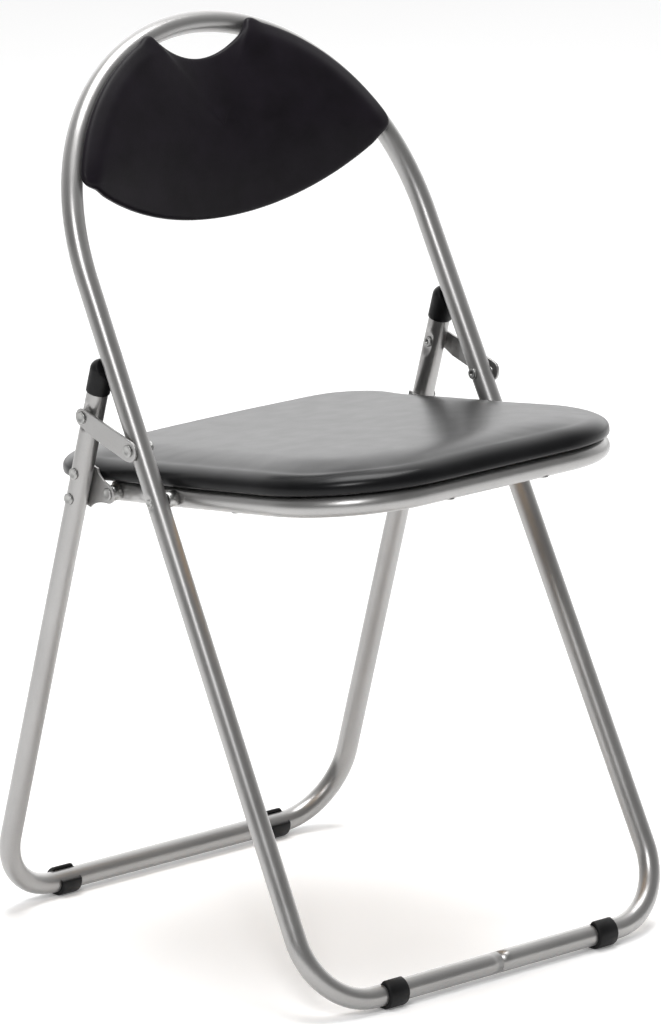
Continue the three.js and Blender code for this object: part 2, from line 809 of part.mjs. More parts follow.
function addFootPads(root) {
  for (const [word, side] of [['left', -1], ['right', 1]]) {
    const a = meshOf(`front_foot_pad_${word}`, footPad(FRONT_FOOT_OPEN_AT), PLASTIC);
    a.position.set(side * FRONT_FOOT_X, -HALF_BASE, AXLE_Z);
    root.add(a);
    const b = meshOf(`rear_foot_pad_${word}`, footPad(REAR_FOOT_OPEN_AT), PLASTIC);
    b.position.set(side * REAR_FOOT_X, HALF_BASE, AXLE_Z);
    root.add(b);
  }
}

function addSeat(root) {
  const seat = new THREE.Group();
  seat.position.set(0, seatPivot.y, seatPivot.z);
  seat.rotation.x = -SEAT_SLOPE;
  seat.add(meshOf('seat_frame_tube', seatFrameTube(), STEEL));
  seat.add(meshOf('seat_board', seatBoard(), PLY));
  seat.add(meshOf('seat_cushion', seatCushion(), VINYL));
  seatScrewSpots().forEach((spot, i) => {
    const g = screw(TUBE_R + GAP, -(SEAT_BOARD_Z + BOARD_T - 0.5));
    g.rotateX(-Math.PI / 2);
    const mesh = meshOf(`seat_screw_${i + 1}`, g, ZINC);
    mesh.position.set(spot.x, -spot.s, 0);
    seat.add(mesh);
  });
  for (const [word, side] of [['left', -1], ['right', 1]]) {
    const pinShape = rivet({
      outer: BRACKET_X + 0.2,
      inner: SEAT_HALF - TUBE_R - GAP,
      shank: PIN_R,
      headR: 5.5,
      tailR: 5,
      headT: 1,
      tailT: 1.8,
    });
    const pin = meshOf(`leg_pivot_rivet_${word}`, sided(pinShape, side), ZINC);
    pin.position.set(0, SEAT_LINK, 0);
    seat.add(pin);
    const room = BRACKET_X - BRACKET_T - (SEAT_HALF + TUBE_R) - 2 * GAP;
    const spacerShape = bush(room);
    spacerShape.translate(SEAT_HALF + TUBE_R + GAP, 0, 0);
    const spacer = meshOf(`leg_pivot_bush_${word}`, sided(spacerShape, side), PLASTIC);
    spacer.position.set(0, SEAT_LINK, 0);
    seat.add(spacer);
  }
  root.add(seat);
}

function addRearLegs(root) {
  const legs = new THREE.Group();
  legs.position.set(0, HALF_BASE, AXLE_Z);
  legs.rotation.x = REAR_LEAN;
  legs.add(meshOf('rear_leg_tube', rearLegTube(), STEEL));
  for (const [word, side] of [['left', -1], ['right', 1]]) {
    legs.add(meshOf(`leg_cap_${word}`, legCap(side), PLASTIC));
    legs.add(meshOf(`leg_bracket_${word}`, legBracket(side), STEEL));
    BRACKET_HOLES.forEach((v, i) => {
      const shape = rivet({
        outer: REAR_HALF + TUBE_R + GAP,
        inner: BRACKET_X - BRACKET_T - 0.2,
        shank: PIN_R - 0.2,
        headR: 5,
        tailR: 4.5,
        headT: 1.7,
        tailT: 1.4,
      });
      const place = i === 0 ? 'upper' : 'lower';
      const pin = meshOf(`bracket_rivet_${place}_${word}`, sided(shape, side), ZINC);
      pin.position.set(0, 0, v);
      legs.add(pin);
    });
    const innerShape = rivet({
      outer: REAR_HALF + TUBE_R,
      inner: REAR_HALF - TUBE_R - GAP,
      shank: PIN_R,
      headR: 5,
      tailR: 5,
      headT: 0,
      tailT: 1.5,
    });
    const half = meshOf(`link_pin_inner_${word}`, sided(innerShape, side), ZINC);
    half.position.set(0, 0, LEG_PIVOT_V);
    legs.add(half);
  }
  root.add(legs);
}

function addLinks(root) {
  const angle = Math.atan2(linkOnLeg.y - linkOnFront.y, linkOnLeg.z - linkOnFront.z);
  for (const [word, side] of [['left', -1], ['right', 1]]) {
    const arm = new THREE.Group();
    arm.position.set(0, linkOnFront.y, linkOnFront.z);
    arm.rotation.x = -angle;
    arm.add(meshOf(`link_${word}`, linkPlate(side), STEEL));
    const outerShape = rivet({
      outer: LINK_X + LINK_T + 0.2,
      inner: LINK_X,
      shank: PIN_R,
      headR: 5.3,
      tailR: PIN_R,
      headT: 1.9,
      tailT: 0,
    });
    const head = meshOf(`link_pin_outer_${word}`, sided(outerShape, side), ZINC);
    head.position.set(0, 0, linkLength);
    arm.add(head);
    root.add(arm);
  }
}

function buildChair() {
  const root = new THREE.Group();
  addFrontFrame(root);
  addFootPads(root);
  addSeat(root);
  addRearLegs(root);
  addLinks(root);
  return root;
}

export default buildChair();
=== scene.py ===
"""Folding chair: the looks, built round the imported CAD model."""

import json
import math

import bmesh
import bpy
import numpy as np
from mathutils import Matrix, Vector
from mathutils.kdtree import KDTree


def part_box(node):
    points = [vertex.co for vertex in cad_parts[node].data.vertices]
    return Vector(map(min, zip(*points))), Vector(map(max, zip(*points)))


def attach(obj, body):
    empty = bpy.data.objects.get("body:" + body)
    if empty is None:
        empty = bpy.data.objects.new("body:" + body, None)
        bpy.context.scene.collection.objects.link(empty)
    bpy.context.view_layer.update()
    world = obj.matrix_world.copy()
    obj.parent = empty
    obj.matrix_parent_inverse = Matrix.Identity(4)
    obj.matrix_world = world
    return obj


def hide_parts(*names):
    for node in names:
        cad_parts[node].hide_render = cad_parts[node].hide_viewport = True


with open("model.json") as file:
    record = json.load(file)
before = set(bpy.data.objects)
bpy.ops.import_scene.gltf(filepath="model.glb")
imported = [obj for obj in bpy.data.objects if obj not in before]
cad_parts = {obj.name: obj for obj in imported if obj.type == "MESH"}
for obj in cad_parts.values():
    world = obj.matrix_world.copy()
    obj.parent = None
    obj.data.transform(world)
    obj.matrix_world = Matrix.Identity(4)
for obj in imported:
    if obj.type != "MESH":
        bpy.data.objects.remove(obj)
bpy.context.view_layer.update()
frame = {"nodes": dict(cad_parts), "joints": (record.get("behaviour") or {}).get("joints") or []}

# ------------------------------------------------------------------ driving dimensions, millimetres
MM = 0.001
TUBE_R = 9.5
AXLE_Z = 12.5
HALF_BASE = 216.5
CORNER_R = 64.0
FRONT_LEAN = math.radians(27.85)
FRONT_HALF_BOTTOM = 206.8
FRONT_HALF_TOP = 197.7
ARCH_START = 653.0
ARCH_TOP = 868.6
ARCH_UP_POWER = 2.158
ARCH_SIDE_POWER = 1.965
REAR_LEAN = math.radians(15.98)
REAR_HALF = 200.55
LEG_PIVOT_V = 486.5
LEG_END_V = 521.3
CAP_START_V = 509.5
CAP_END_V = 540.5
CAP_R = 10.6
CAP_DOME = 9.0
CAP_LEAN_GAP = 0.45
SEAT_SLOPE = math.radians(7.6)
SEAT_PIVOT_U = 460.0
SEAT_HALF = 173.0
SEAT_FRONT = 212.0
SEAT_TUBE_END = -92.0
SEAT_CORNER_R = 88.0
BOARD_T = 6.0
SEAT_BOARD_O = 9.8
CUSHION_HALF = 185.0
CUSHION_FRONT = 226.0
CUSHION_REAR = -182.0
CUSHION_CORNER_FRONT = 108.0
CUSHION_CORNER_REAR = 62.0
CUSHION_CENTRE = (0, 20)
PAD_T = 18.0
PAD_BOTTOM_U = 696.2
PAD_BOTTOM_HALF = 166.0
PAD_TIP_ARCH = math.radians(27)
PAD_CENTRE = (0, 770)
SLOT_BOTTOM_U = 834.0
SLOT_HALF = 44.0
BACK_BOARD_T = 4.0
PAD_DISH = 38.0
PAD_BACK_N = -10.1
DISH_HALF_X = 184.0
DISH_HALF_U = 202.0
LINK_X = 211.35
LINK_T = 2.5
BRACKET_X = 190.45
BRACKET_T = 2.0
BRACKET_HOLES = {"upper": 430.4, "lower": 405.5}
EAR_R = 8.6
CLIP_R = 13.0
CLIP_W = 22.0
CLIP_OPENING = 96.0
FRONT_CLIP_OPEN_AT = 50.0
REAR_CLIP_OPEN_AT = 125.0
PIN_R = 3.0
BUSH_R = 7.0
BUSH_BORE_R = 3.3
FLOOR_HALF = 30000.0
SIDES = (("left", -1), ("right", 1))
BLACK_PLASTIC = "black_plastic"
STEEL = "silver_steel"
FASTENERS = "zinc_fasteners"
VINYL = "black_vinyl"
PLYWOOD = "plywood"

joint = {j["name"]: j for j in frame["joints"]}
SEAT_PIVOT = Vector(joint["seat_fold"]["pos_m"]) / MM
LEG_PIVOT = Vector(joint["leg_fold"]["pos_m"]) / MM
LINK_PIVOT = Vector(joint["right_link_turn"]["pos_m"]) / MM


# ------------------------------------------------------------------ frames of reference
def front_point(x, n, u):
    """x across, n behind the front frame's plane, u up along it."""
    y = -HALF_BASE + u * math.sin(FRONT_LEAN) + n * math.cos(FRONT_LEAN)
    z = AXLE_Z + u * math.cos(FRONT_LEAN) - n * math.sin(FRONT_LEAN)
    return Vector((x, y, z))


def rear_point(x, n, v):
    y = HALF_BASE - v * math.sin(REAR_LEAN) + n * math.cos(REAR_LEAN)
    z = AXLE_Z + v * math.cos(REAR_LEAN) + n * math.sin(REAR_LEAN)
    return Vector((x, y, z))


def seat_point(x, s, o):
    """x across, s ahead of the seat pivot along the seat, o above its tube's centre line."""
    y = SEAT_PIVOT.y - s * math.cos(SEAT_SLOPE) + o * math.sin(SEAT_SLOPE)
    z = SEAT_PIVOT.z + s * math.sin(SEAT_SLOPE) + o * math.cos(SEAT_SLOPE)
    return Vector((x, y, z))


def front_half_at(u):
    t = (u - CORNER_R) / (ARCH_START - CORNER_R)
    return FRONT_HALF_BOTTOM + (FRONT_HALF_TOP - FRONT_HALF_BOTTOM) * t


def arch(a):
    x = FRONT_HALF_TOP * max(math.cos(a), 0.0) ** (2 / ARCH_SIDE_POWER)
    u = ARCH_START + (ARCH_TOP - ARCH_START) * math.sin(a) ** (2 / ARCH_UP_POWER)
    return x, u


# ------------------------------------------------------------------ mesh helpers
def new_object(name, verts, faces, smooth=True):
    mesh = bpy.data.meshes.new(name)
    mesh.from_pydata([tuple(Vector(v) * MM) for v in verts], [], faces)
    mesh.validate()
    obj = bpy.data.objects.new(name, mesh)
    bpy.context.scene.collection.objects.link(obj)
    for poly in mesh.polygons:
        poly.use_smooth = smooth
    return obj


def outward(obj):
    bm = bmesh.new()
    bm.from_mesh(obj.data)
    bmesh.ops.recalc_face_normals(bm, faces=bm.faces)
    bm.to_mesh(obj.data)
    bm.free()


def dress(obj, material, body, slot, *nodes):
    obj.data.materials.clear()
    obj.data.materials.append(material)
    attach(obj, body)
    if nodes:
        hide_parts(*nodes)
    return obj


def bevelled(obj, width, segments=3, angle=40):
    mod = obj.modifiers.new("edge", "BEVEL")
    mod.width = width * MM
    mod.segments = segments
    mod.limit_method = "ANGLE"
    mod.angle_limit = math.radians(angle)
    mod.harden_normals = True
    return obj


def applied(obj):
    """Makes the modifiers' result the mesh itself."""
    graph = bpy.context.evaluated_depsgraph_get()
    graph.update()
    done = bpy.data.meshes.new_from_object(obj.evaluated_get(graph))
    obj.modifiers.clear()
    old = obj.data
    obj.data = done
    bpy.data.meshes.remove(old)
    return obj


SECTION = 48


def tube(name, path, across, radius=TUBE_R):
    """A tube swept along points in one plane whose normal is across. path holds points, with closed ends."""
    points = [Vector(p) for p in path]
    verts, faces = [], []
    last = len(points) - 1
    for i, p in enumerate(points):
        ahead = points[min(i + 1, last)] - points[max(i - 1, 0)]
        side = across.cross(ahead.normalized()).normalized()
        for k in range(SECTION):
            a = 2 * math.pi * k / SECTION
            verts.append(p + side * (radius * math.cos(a)) + across * (radius * math.sin(a)))
    for i in range(last):
        for k in range(SECTION):
            q = (k + 1) % SECTION
            a, b = i * SECTION, (i + 1) * SECTION
            faces.append((a + k, a + q, b + q, b + k))
    faces.append(tuple(range(SECTION - 1, -1, -1)))
    faces.append(tuple(last * SECTION + k for k in range(SECTION)))
    obj = new_object(name, verts, faces)
    outward(obj)
    return obj


def press(obj, centre, half, inner, outer, sides=(-1, 1)):
    """Presses a tube flat across X round a pin: |x - centre| is held to half near the pin's axis."""
    for vert in obj.data.vertices:
        x = vert.co.x / MM - centre.x
        away = math.hypot(vert.co.y / MM - centre.y, vert.co.z / MM - centre.z)
        if abs(x) > half and away < outer and (1 if x > 0 else -1) in sides and abs(x) < 2 * TUBE_R:
            t = min(1.0, max(0.0, (away - inner) / (outer - inner)))
            t = t * t * (3 - 2 * t)
            flat = math.copysign(half, x)
            vert.co.x = (centre.x + flat + (x - flat) * t) * MM


def lathe(name, profile, origin, direction, segments=40):
    """A turned solid. profile runs from one end of the axis to the other as (radius, height)."""
    axis = Vector(direction).normalized()
    other = Vector((0, 0, 1)) if abs(axis.z) < 0.9 else Vector((1, 0, 0))
    e1 = axis.cross(other).normalized()
    e2 = axis.cross(e1)
    verts, faces, rings = [], [], []
    for r, h in profile:
        base = Vector(origin) + axis * h
        if r < 1e-6:
            rings.append([len(verts)])
            verts.append(base)
            continue
        rings.append(list(range(len(verts), len(verts) + segments)))
        for k in range(segments):
            a = 2 * math.pi * k / segments
            verts.append(base + e1 * (r * math.cos(a)) + e2 * (r * math.sin(a)))
    for a, b in zip(rings, rings[1:]):
        for k in range(segments):
            q = (k + 1) % segments
            if len(a) == 1 and len(b) == 1:
                continue
            if len(a) == 1:
                faces.append((a[0], b[q], b[k]))
            elif len(b) == 1:
                faces.append((a[k], a[q], b[0]))
            else:
                faces.append((a[k], a[q], b[q], b[k]))
    if len(rings[0]) > 1:
        for k in range(segments):
            q = (k + 1) % segments
            a, b = rings[-1], rings[0]
            faces.append((a[k], a[q], b[q], b[k]))
    obj = new_object(name, verts, faces)
    outward(obj)
    return obj


def plate(name, outline, place, thickness):
    """A flat plate: outline is a list of (a, b), place(a, b, t) puts a point in space."""
    bm = bmesh.new()
    verts = [bm.verts.new(place(a, b, 0) * MM) for a, b in outline]
    count = len(verts)
    edges = [bm.edges.new((verts[i], verts[(i + 1) % count])) for i in range(count)]
    bmesh.ops.triangle_fill(bm, edges=edges, use_beauty=True)
    inner = [e for e in bm.edges if not e.is_boundary]
    bmesh.ops.dissolve_limit(bm, angle_limit=0.01, verts=bm.verts, edges=inner)
    out = bmesh.ops.extrude_face_region(bm, geom=list(bm.faces))
    shift = (place(0, 0, thickness) - place(0, 0, 0)) * MM
    moved = [g for g in out["geom"] if isinstance(g, bmesh.types.BMVert)]
    bmesh.ops.translate(bm, verts=moved, vec=shift)
    bmesh.ops.recalc_face_normals(bm, faces=bm.faces)
    mesh = bpy.data.meshes.new(name)
    bm.to_mesh(mesh)
    bm.free()
    obj = bpy.data.objects.new(name, mesh)
    bpy.context.scene.collection.objects.link(obj)
    for poly in mesh.polygons:
        poly.use_smooth = True
    return obj


def arc(cx, cy, r, start, end, steps):
    points = []
    for i in range(steps + 1):
        a = math.radians(start + (end - start) * i / steps)
        points.append((cx + r * math.cos(a), cy + r * math.sin(a)))
    return points


def bezier(p0, p1, p2, steps):
    points = []
    for i in range(steps + 1):
        t = i / steps
        x = (1 - t) ** 2 * p0[0] + 2 * t * (1 - t) * p1[0] + t * t * p2[0]
        y = (1 - t) ** 2 * p0[1] + 2 * t * (1 - t) * p1[1] + t * t * p2[1]
        points.append((x, y))
    return points


def along(a, b, step):
    """Points from a to b, both included, about step apart."""
    count = max(1, round((b - a).length / step))
    return [a.lerp(b, i / count) for i in range(count + 1)]


# ------------------------------------------------------------------ materials
def material(name):
    mat = bpy.data.materials.new(name)
    mat.use_nodes = True
    nodes = mat.node_tree.nodes
    shader = nodes["Principled BSDF"]
    place = nodes.new("ShaderNodeTexCoord")
    return mat, mat.node_tree, shader, place.outputs["Object"]


def noise(tree, vector, scale, detail=4.0, roughness=0.55):
    node = tree.nodes.new("ShaderNodeTexNoise")
    node.inputs["Scale"].default_value = scale
    node.inputs["Detail"].default_value = detail
    node.inputs["Roughness"].default_value = roughness
    tree.links.new(vector, node.inputs["Vector"])
    return node.outputs["Fac"]


def cells(tree, vector, scale, feature="F1"):
    node = tree.nodes.new("ShaderNodeTexVoronoi")
    node.feature = feature
    node.inputs["Scale"].default_value = scale
    tree.links.new(vector, node.inputs["Vector"])
    return node.outputs["Distance"]


def remap(tree, value, low, high, from_low=0.3, from_high=0.7):
    node = tree.nodes.new("ShaderNodeMapRange")
    node.inputs["From Min"].default_value = from_low
    node.inputs["From Max"].default_value = from_high
    node.inputs["To Min"].default_value = low
    node.inputs["To Max"].default_value = high
    tree.links.new(value, node.inputs["Value"])
    return node.outputs["Result"]


def ramp(tree, value, colours):
    node = tree.nodes.new("ShaderNodeValToRGB")
    band = node.color_ramp
    while len(band.elements) < len(colours):
        band.elements.new(0.5)
    for element, (at, colour) in zip(band.elements, colours):
        element.position = at
        element.color = (*colour, 1)
    tree.links.new(value, node.inputs["Fac"])
    return node.outputs["Color"]


def bump(tree, shader, height, distance, strength=1.0, under=None):
    node = tree.nodes.new("ShaderNodeBump")
    node.inputs["Distance"].default_value = distance * MM
    node.inputs["Strength"].default_value = strength
    tree.links.new(height, node.inputs["Height"])
    if under is not None:
        tree.links.new(under, node.inputs["Normal"])
    tree.links.new(node.outputs["Normal"], shader.inputs["Normal"])
    return node.outputs["Normal"]


def silver_paint():
    """Satin silver paint on drawn tube: fine metal flake, slight orange peel, faint handling marks."""
    mat, tree, shader, where = material("silver_paint")
    tone = tree.nodes.new("ShaderNodeMixRGB")
    tone.inputs[0].default_value = 0.6
    tree.links.new(noise(tree, where, 1500, 2), tone.inputs[1])
    tree.links.new(noise(tree, where, 9, 4), tone.inputs[2])
    colour = ramp(tree, tone.outputs[0], [(0.35, (0.33, 0.325, 0.32)), (0.65, (0.39, 0.385, 0.38))])
    tree.links.new(colour, shader.inputs["Base Color"])
    shader.inputs["Metallic"].default_value = 0.85
    tree.links.new(remap(tree, noise(tree, where, 30, 5), 0.30, 0.38), shader.inputs["Roughness"])
    shader.inputs["Coat Weight"].default_value = 0.15
    shader.inputs["Coat Roughness"].default_value = 0.15
    peel = bump(tree, shader, noise(tree, where, 300, 2), 0.006, 0.4)
    bump(tree, shader, noise(tree, where, 2200, 2), 0.002, 0.4, peel)
    return mat


def zinc_plate():
    mat, tree, shader, where = material("zinc_plate")
    colour = ramp(tree, noise(tree, where, 180, 5), [(0.3, (0.30, 0.30, 0.295)), (0.7, (0.42, 0.42, 0.41))])
    tree.links.new(colour, shader.inputs["Base Color"])
    shader.inputs["Metallic"].default_value = 0.95
    tree.links.new(remap(tree, noise(tree, where, 700, 4), 0.26, 0.44), shader.inputs["Roughness"])
    bump(tree, shader, noise(tree, where, 900, 5), 0.02, 0.5)
    return mat


def vinyl(name, tint, rough, grain, grain_depth, gloss, soft=0.0):
    """Embossed vinyl: small pebbled cells with creases between, over a little unevenness of the foam."""
    mat, tree, shader, where = material(name)
    dark = tuple(0.7 * c for c in tint)
    light = tuple(1.35 * c for c in tint)
    colour = ramp(tree, noise(tree, where, 35, 6), [(0.3, dark), (0.7, light)])
    tree.links.new(colour, shader.inputs["Base Color"])
    low, high = rough
    tree.links.new(remap(tree, noise(tree, where, 45, 6), low, high), shader.inputs["Roughness"])
    shader.inputs["Specular IOR Level"].default_value = gloss
    shader.inputs["Sheen Weight"].default_value = soft
    shader.inputs["Sheen Roughness"].default_value = 0.35
    foam = bump(tree, shader, noise(tree, where, 14, 1), 0.10, 0.12)
    pebble = bump(tree, shader, cells(tree, where, grain, "SMOOTH_F1"), grain_depth, 0.6, foam)
    bump(tree, shader, noise(tree, where, grain * 2.2, 3), grain_depth * 0.35, 0.6, pebble)
    return mat


def black_plastic():
    mat, tree, shader, where = material("moulded_plastic")
    shades = [(0.3, (0.0025, 0.0025, 0.003)), (0.7, (0.005, 0.005, 0.0055))]
    colour = ramp(tree, noise(tree, where, 90, 4), shades)
    tree.links.new(colour, shader.inputs["Base Color"])
    tree.links.new(remap(tree, noise(tree, where, 160, 5), 0.38, 0.56), shader.inputs["Roughness"])
    shader.inputs["Specular IOR Level"].default_value = 0.22
    bump(tree, shader, noise(tree, where, 1500, 3), 0.03, 0.55)
    return mat


def plywood():
    """Poplar ply: long grain stretched along the seat's depth, with flecks."""
    mat, tree, shader, where = material("plywood")
    stretch = tree.nodes.new("ShaderNodeMapping")
    stretch.inputs["Scale"].default_value = (1.0, 0.07, 1.0)
    tree.links.new(where, stretch.inputs["Vector"])
    grain = noise(tree, stretch.outputs["Vector"], 160, 9, 0.7)
    wide = noise(tree, stretch.outputs["Vector"], 26, 4)
    both = tree.nodes.new("ShaderNodeMixRGB")
    both.inputs[0].default_value = 0.45
    tree.links.new(grain, both.inputs[1])
    tree.links.new(wide, both.inputs[2])
    shades = [(0.34, (0.26, 0.15, 0.07)), (0.5, (0.46, 0.30, 0.16)), (0.66, (0.60, 0.43, 0.25))]
    tree.links.new(ramp(tree, both.outputs[0], shades), shader.inputs["Base Color"])
    tree.links.new(remap(tree, grain, 0.55, 0.75), shader.inputs["Roughness"])
    bump(tree, shader, grain, 0.12, 0.5)
    return mat


PAINT = silver_paint()
ZINC = zinc_plate()
SEAT_VINYL = vinyl("seat_vinyl", (0.004, 0.004, 0.0045), (0.28, 0.31), 760, 0.012, 0.22)
PAD_VINYL = vinyl("pad_vinyl", (0.0060, 0.0045, 0.0070), (0.40, 0.46), 620, 0.08, 0.14, soft=0.04)
PLASTIC = black_plastic()
PLY = plywood()


# ------------------------------------------------------------------ tubes
def corner(half, place, steps=20):
    points = []
    for i in range(steps + 1):
        a = (i / steps) * math.pi / 2
        x = half - CORNER_R + CORNER_R * math.sin(a)
        u = CORNER_R - CORNER_R * math.cos(a)
        points.append(place(x, 0, u))
    return points


def mirrored(points):
    return [Vector((-p.x, p.y, p.z)) for p in reversed(points)]


def straight_with_pins(start, end, pins, place):
    """Points up a straight run, closer together round each pin."""
    wide, close, each_way = 12.0, 1.4, 12
    marks = {start, end}
    u = start
    while u < end:
        marks.add(u)
        u += wide
    for pin in pins:
        for k in range(-each_way, each_way + 1):
            marks.add(pin + close * k)
    return [place(u) for u in sorted(m for m in marks if start <= m <= end)]


def front_frame():
    """Half of the hoop from the crossbar's seam to the arch's top, mirrored."""
    def side_tube(u):
        return front_point(front_half_at(u), 0, u)

    half_seam, arch_steps = 0.15, 44
    link_u = (LINK_PIVOT.z - AXLE_Z) / math.cos(FRONT_LEAN)
    half = along(front_point(half_seam, 0, 0), front_point(FRONT_HALF_BOTTOM - CORNER_R, 0, 0), 12)
    half += corner(FRONT_HALF_BOTTOM, front_point)[1:]
    half += straight_with_pins(CORNER_R, ARCH_START, (SEAT_PIVOT_U, link_u), side_tube)[1:]
    for i in range(1, arch_steps):
        x, u = arch(i / arch_steps * math.pi / 2)
        half.append(front_point(x, 0, u))
    top = front_point(0, 0, ARCH_TOP)
    across = (front_point(0, 1, 0) - front_point(0, 0, 0)).normalized()
    obj = tube("front_frame_tube_fine", half + [top] + mirrored(half), across)
    for _, side in SIDES:
        pin = front_point(side * front_half_at(SEAT_PIVOT_U), 0, SEAT_PIVOT_U)
        press(obj, pin, half=TUBE_R - 0.8, inner=3.5, outer=8)
    dress(obj, PAINT, "front_frame", STEEL, "front_frame_tube")


def rear_legs():
    def leg(v):
        return rear_point(REAR_HALF, 0, v)

    half = along(rear_point(0, 0, 0), rear_point(REAR_HALF - CORNER_R, 0, 0), 12)
    half += corner(REAR_HALF, rear_point)[1:]
    half += straight_with_pins(CORNER_R, LEG_END_V, (LEG_PIVOT_V,), leg)[1:]
    across = (rear_point(0, 1, 0) - rear_point(0, 0, 0)).normalized()
    obj = tube("rear_leg_tube_fine", mirrored(half)[:-1] + half, across)
    for _, side in SIDES:
        press(obj, rear_point(side * REAR_HALF, 0, LEG_PIVOT_V), half=TUBE_R - 1.9, inner=5.5, outer=15)
    dress(obj, PAINT, "rear_legs", STEEL, "rear_leg_tube")


def seat_tube():
    """A U open to the rear. Its points are close together on the flattened ends and round the pivots."""
    marks = [SEAT_TUBE_END + 1.4 * k for k in range(42)]
    marks += [-30.0, -25.0]
    marks += [-20 + 1.6 * k for k in range(26)]
    marks += [28.0, 40.0, 60.0, 80.0, 100.0]
    half = [seat_point(SEAT_HALF, s, 0) for s in marks]
    bend_x, bend_s = SEAT_HALF - SEAT_CORNER_R, SEAT_FRONT - SEAT_CORNER_R
    for x, s in arc(bend_x, bend_s, SEAT_CORNER_R, 0, 90, 26):
        half.append(seat_point(x, s, 0))
    half += along(half[-1], seat_point(0, SEAT_FRONT, 0), 14)[1:]
    up = (seat_point(0, 0, 1) - seat_point(0, 0, 0)).normalized()
    obj = tube("seat_frame_tube_fine", half + mirrored(half)[1:], up)
    flatten_ends(obj, up)
    for _, side in SIDES:
        press(obj, seat_point(side * SEAT_HALF, 0, 0), half=TUBE_R - 2.2, inner=6, outer=16)
    dress(obj, PAINT, "seat", STEEL, "seat_frame_tube")


def flatten_ends(obj, up):
    """Squeezes the seat tube's rear ends across X and rounds them off."""
    flat_start, flat_run, squeeze, sink = -40, 26, 0.45, 0.06
    tip_start, tip_run, tip_least, tip_height = -84, 8, 0.04, 0.55
    forward = (seat_point(0, 1, 0) - seat_point(0, 0, 0)).normalized()
    for vert in obj.data.vertices:
        co = vert.co / MM
        off = co - SEAT_PIVOT
        off.x = 0
        s = off.dot(forward)
        if s >= flat_start:
            continue
        t = min(1.0, (flat_start - s) / flat_run)
        t = t * t * (3 - 2 * t)
        tip = max(0.0, (tip_start - s) / tip_run)
        rounding = math.sqrt(max(tip_least, 1 - tip * tip))
        width = (abs(co.x) - SEAT_HALF) * (1 - squeeze * t) * rounding
        height = off.dot(up) * (1 - sink * t) * (tip_height + (1 - tip_height) * rounding)
        vert.co = seat_point(math.copysign(SEAT_HALF + width, co.x), s, height) * MM


# ------------------------------------------------------------------ pins, screws and spacers
def head_profile(radius, base, height, soft=0.7, hollow=0.25):
    """A flat-topped rivet head: rounded rim, a shallow hollow in the middle."""
    top = base + height
    profile = [(radius, base)]
    profile += arc(radius - soft, top - soft, soft, 0, 90, 5)
    profile += [(radius * 0.55, top), (radius * 0.4, top - hollow), (0, top - hollow)]
    return profile


def rivet(name, centre, side, head, shank, tail, hollow_tail=False):
    """head and tail are (radius, distance of the seating face from the middle plane, thickness)."""
    head_r, head_at, head_t = head
    tail_r, tail_at, tail_t = tail
    end = tail_at - tail_t
    profile = [(0, tail_at)]
    if tail_t > 0:
        profile = [(0, end)]
        if hollow_tail:
            profile = [(0, end + 1.4), (1.5, end + 1.3), (1.9, end + 0.25), (2.2, end)]
        profile += [(tail_r - 0.6, end), (tail_r - 0.15, end + 0.2), (tail_r, end + 0.6), (tail_r, tail_at)]
    profile += [(shank, tail_at), (shank, head_at)]
    if head_t > 0:
        profile += head_profile(head_r, head_at, head_t)
    else:
        profile += [(0, head_at)]
    origin = Vector((0, centre.y, centre.z))
    return lathe(name, profile, origin, (side, 0, 0))


def ring(name, centre, side, near, far, soft=0.5):
    """A spacer with softened edges, between two distances from the middle plane."""
    profile = [(BUSH_BORE_R, near), (BUSH_R - soft, near), (BUSH_R, near + soft)]
    profile += [(BUSH_R, far - soft), (BUSH_R - soft, far), (BUSH_BORE_R, far)]
    origin = Vector((0, centre.y, centre.z))
    return lathe(name, profile, origin, (side, 0, 0))


def cross_screw(name, seat, into, radius=4.0, length=22.0, height=2.4):
    """A pan head with a cross recess. seat is under the head, into points down the shank."""
    out = -Vector(into).normalized()
    root_r, crest_r, rim, turns = 1.45, 1.85, 0.5, 10
    pitch = (length - 5) / turns
    profile = [(0, -length), (1.7, -length + 2)]
    for i in range(turns):
        h = -length + 3 + i * pitch
        profile += [(root_r, h), (crest_r, h + pitch / 2)]
    profile += [(1.8, 0), (radius, 0), (radius, rim)]
    for i in range(1, 9):
        a = i / 8 * math.pi / 2
        profile.append((radius * math.cos(a) if i < 8 else 0, rim + (height - rim) * math.sin(a)))
    obj = lathe(name, profile, seat, out, 32)
    one = out.cross(Vector((1, 0, 0)))
    if one.length < 0.1:
        one = out.cross(Vector((0, 1, 0)))
    one.normalize()
    other = out.cross(one)
    slot_length, slot_width, slot_depth = 4.2, 0.9, 2.4
    bm = bmesh.new()
    for a, b in ((one, other), (other, one)):
        box = Matrix((a * slot_length, b * slot_width, out * slot_depth)).transposed().to_4x4()
        box.translation = Vector(seat) + out * (height + 0.05)
        made = bmesh.ops.create_cube(bm, size=1.0)
        bmesh.ops.transform(bm, matrix=Matrix.Scale(MM, 4) @ box, verts=made["verts"])
    mesh = bpy.data.meshes.new(name + "_recess")
    bm.to_mesh(mesh)
    bm.free()
    tool = bpy.data.objects.new(name + "_recess", mesh)
    bpy.context.scene.collection.objects.link(tool)
    cut = obj.modifiers.new("recess", "BOOLEAN")
    cut.object = tool
    cut.operation = "DIFFERENCE"
    cut.solver = "EXACT"
    cut.use_self = True
    applied(obj)
    bpy.data.objects.remove(tool)
    for poly in obj.data.polygons:
        poly.use_smooth = True
    shade_sharp(obj)
    return obj


def shade_sharp(obj, angle=35):
    obj.data.set_sharp_from_angle(angle=math.radians(angle))


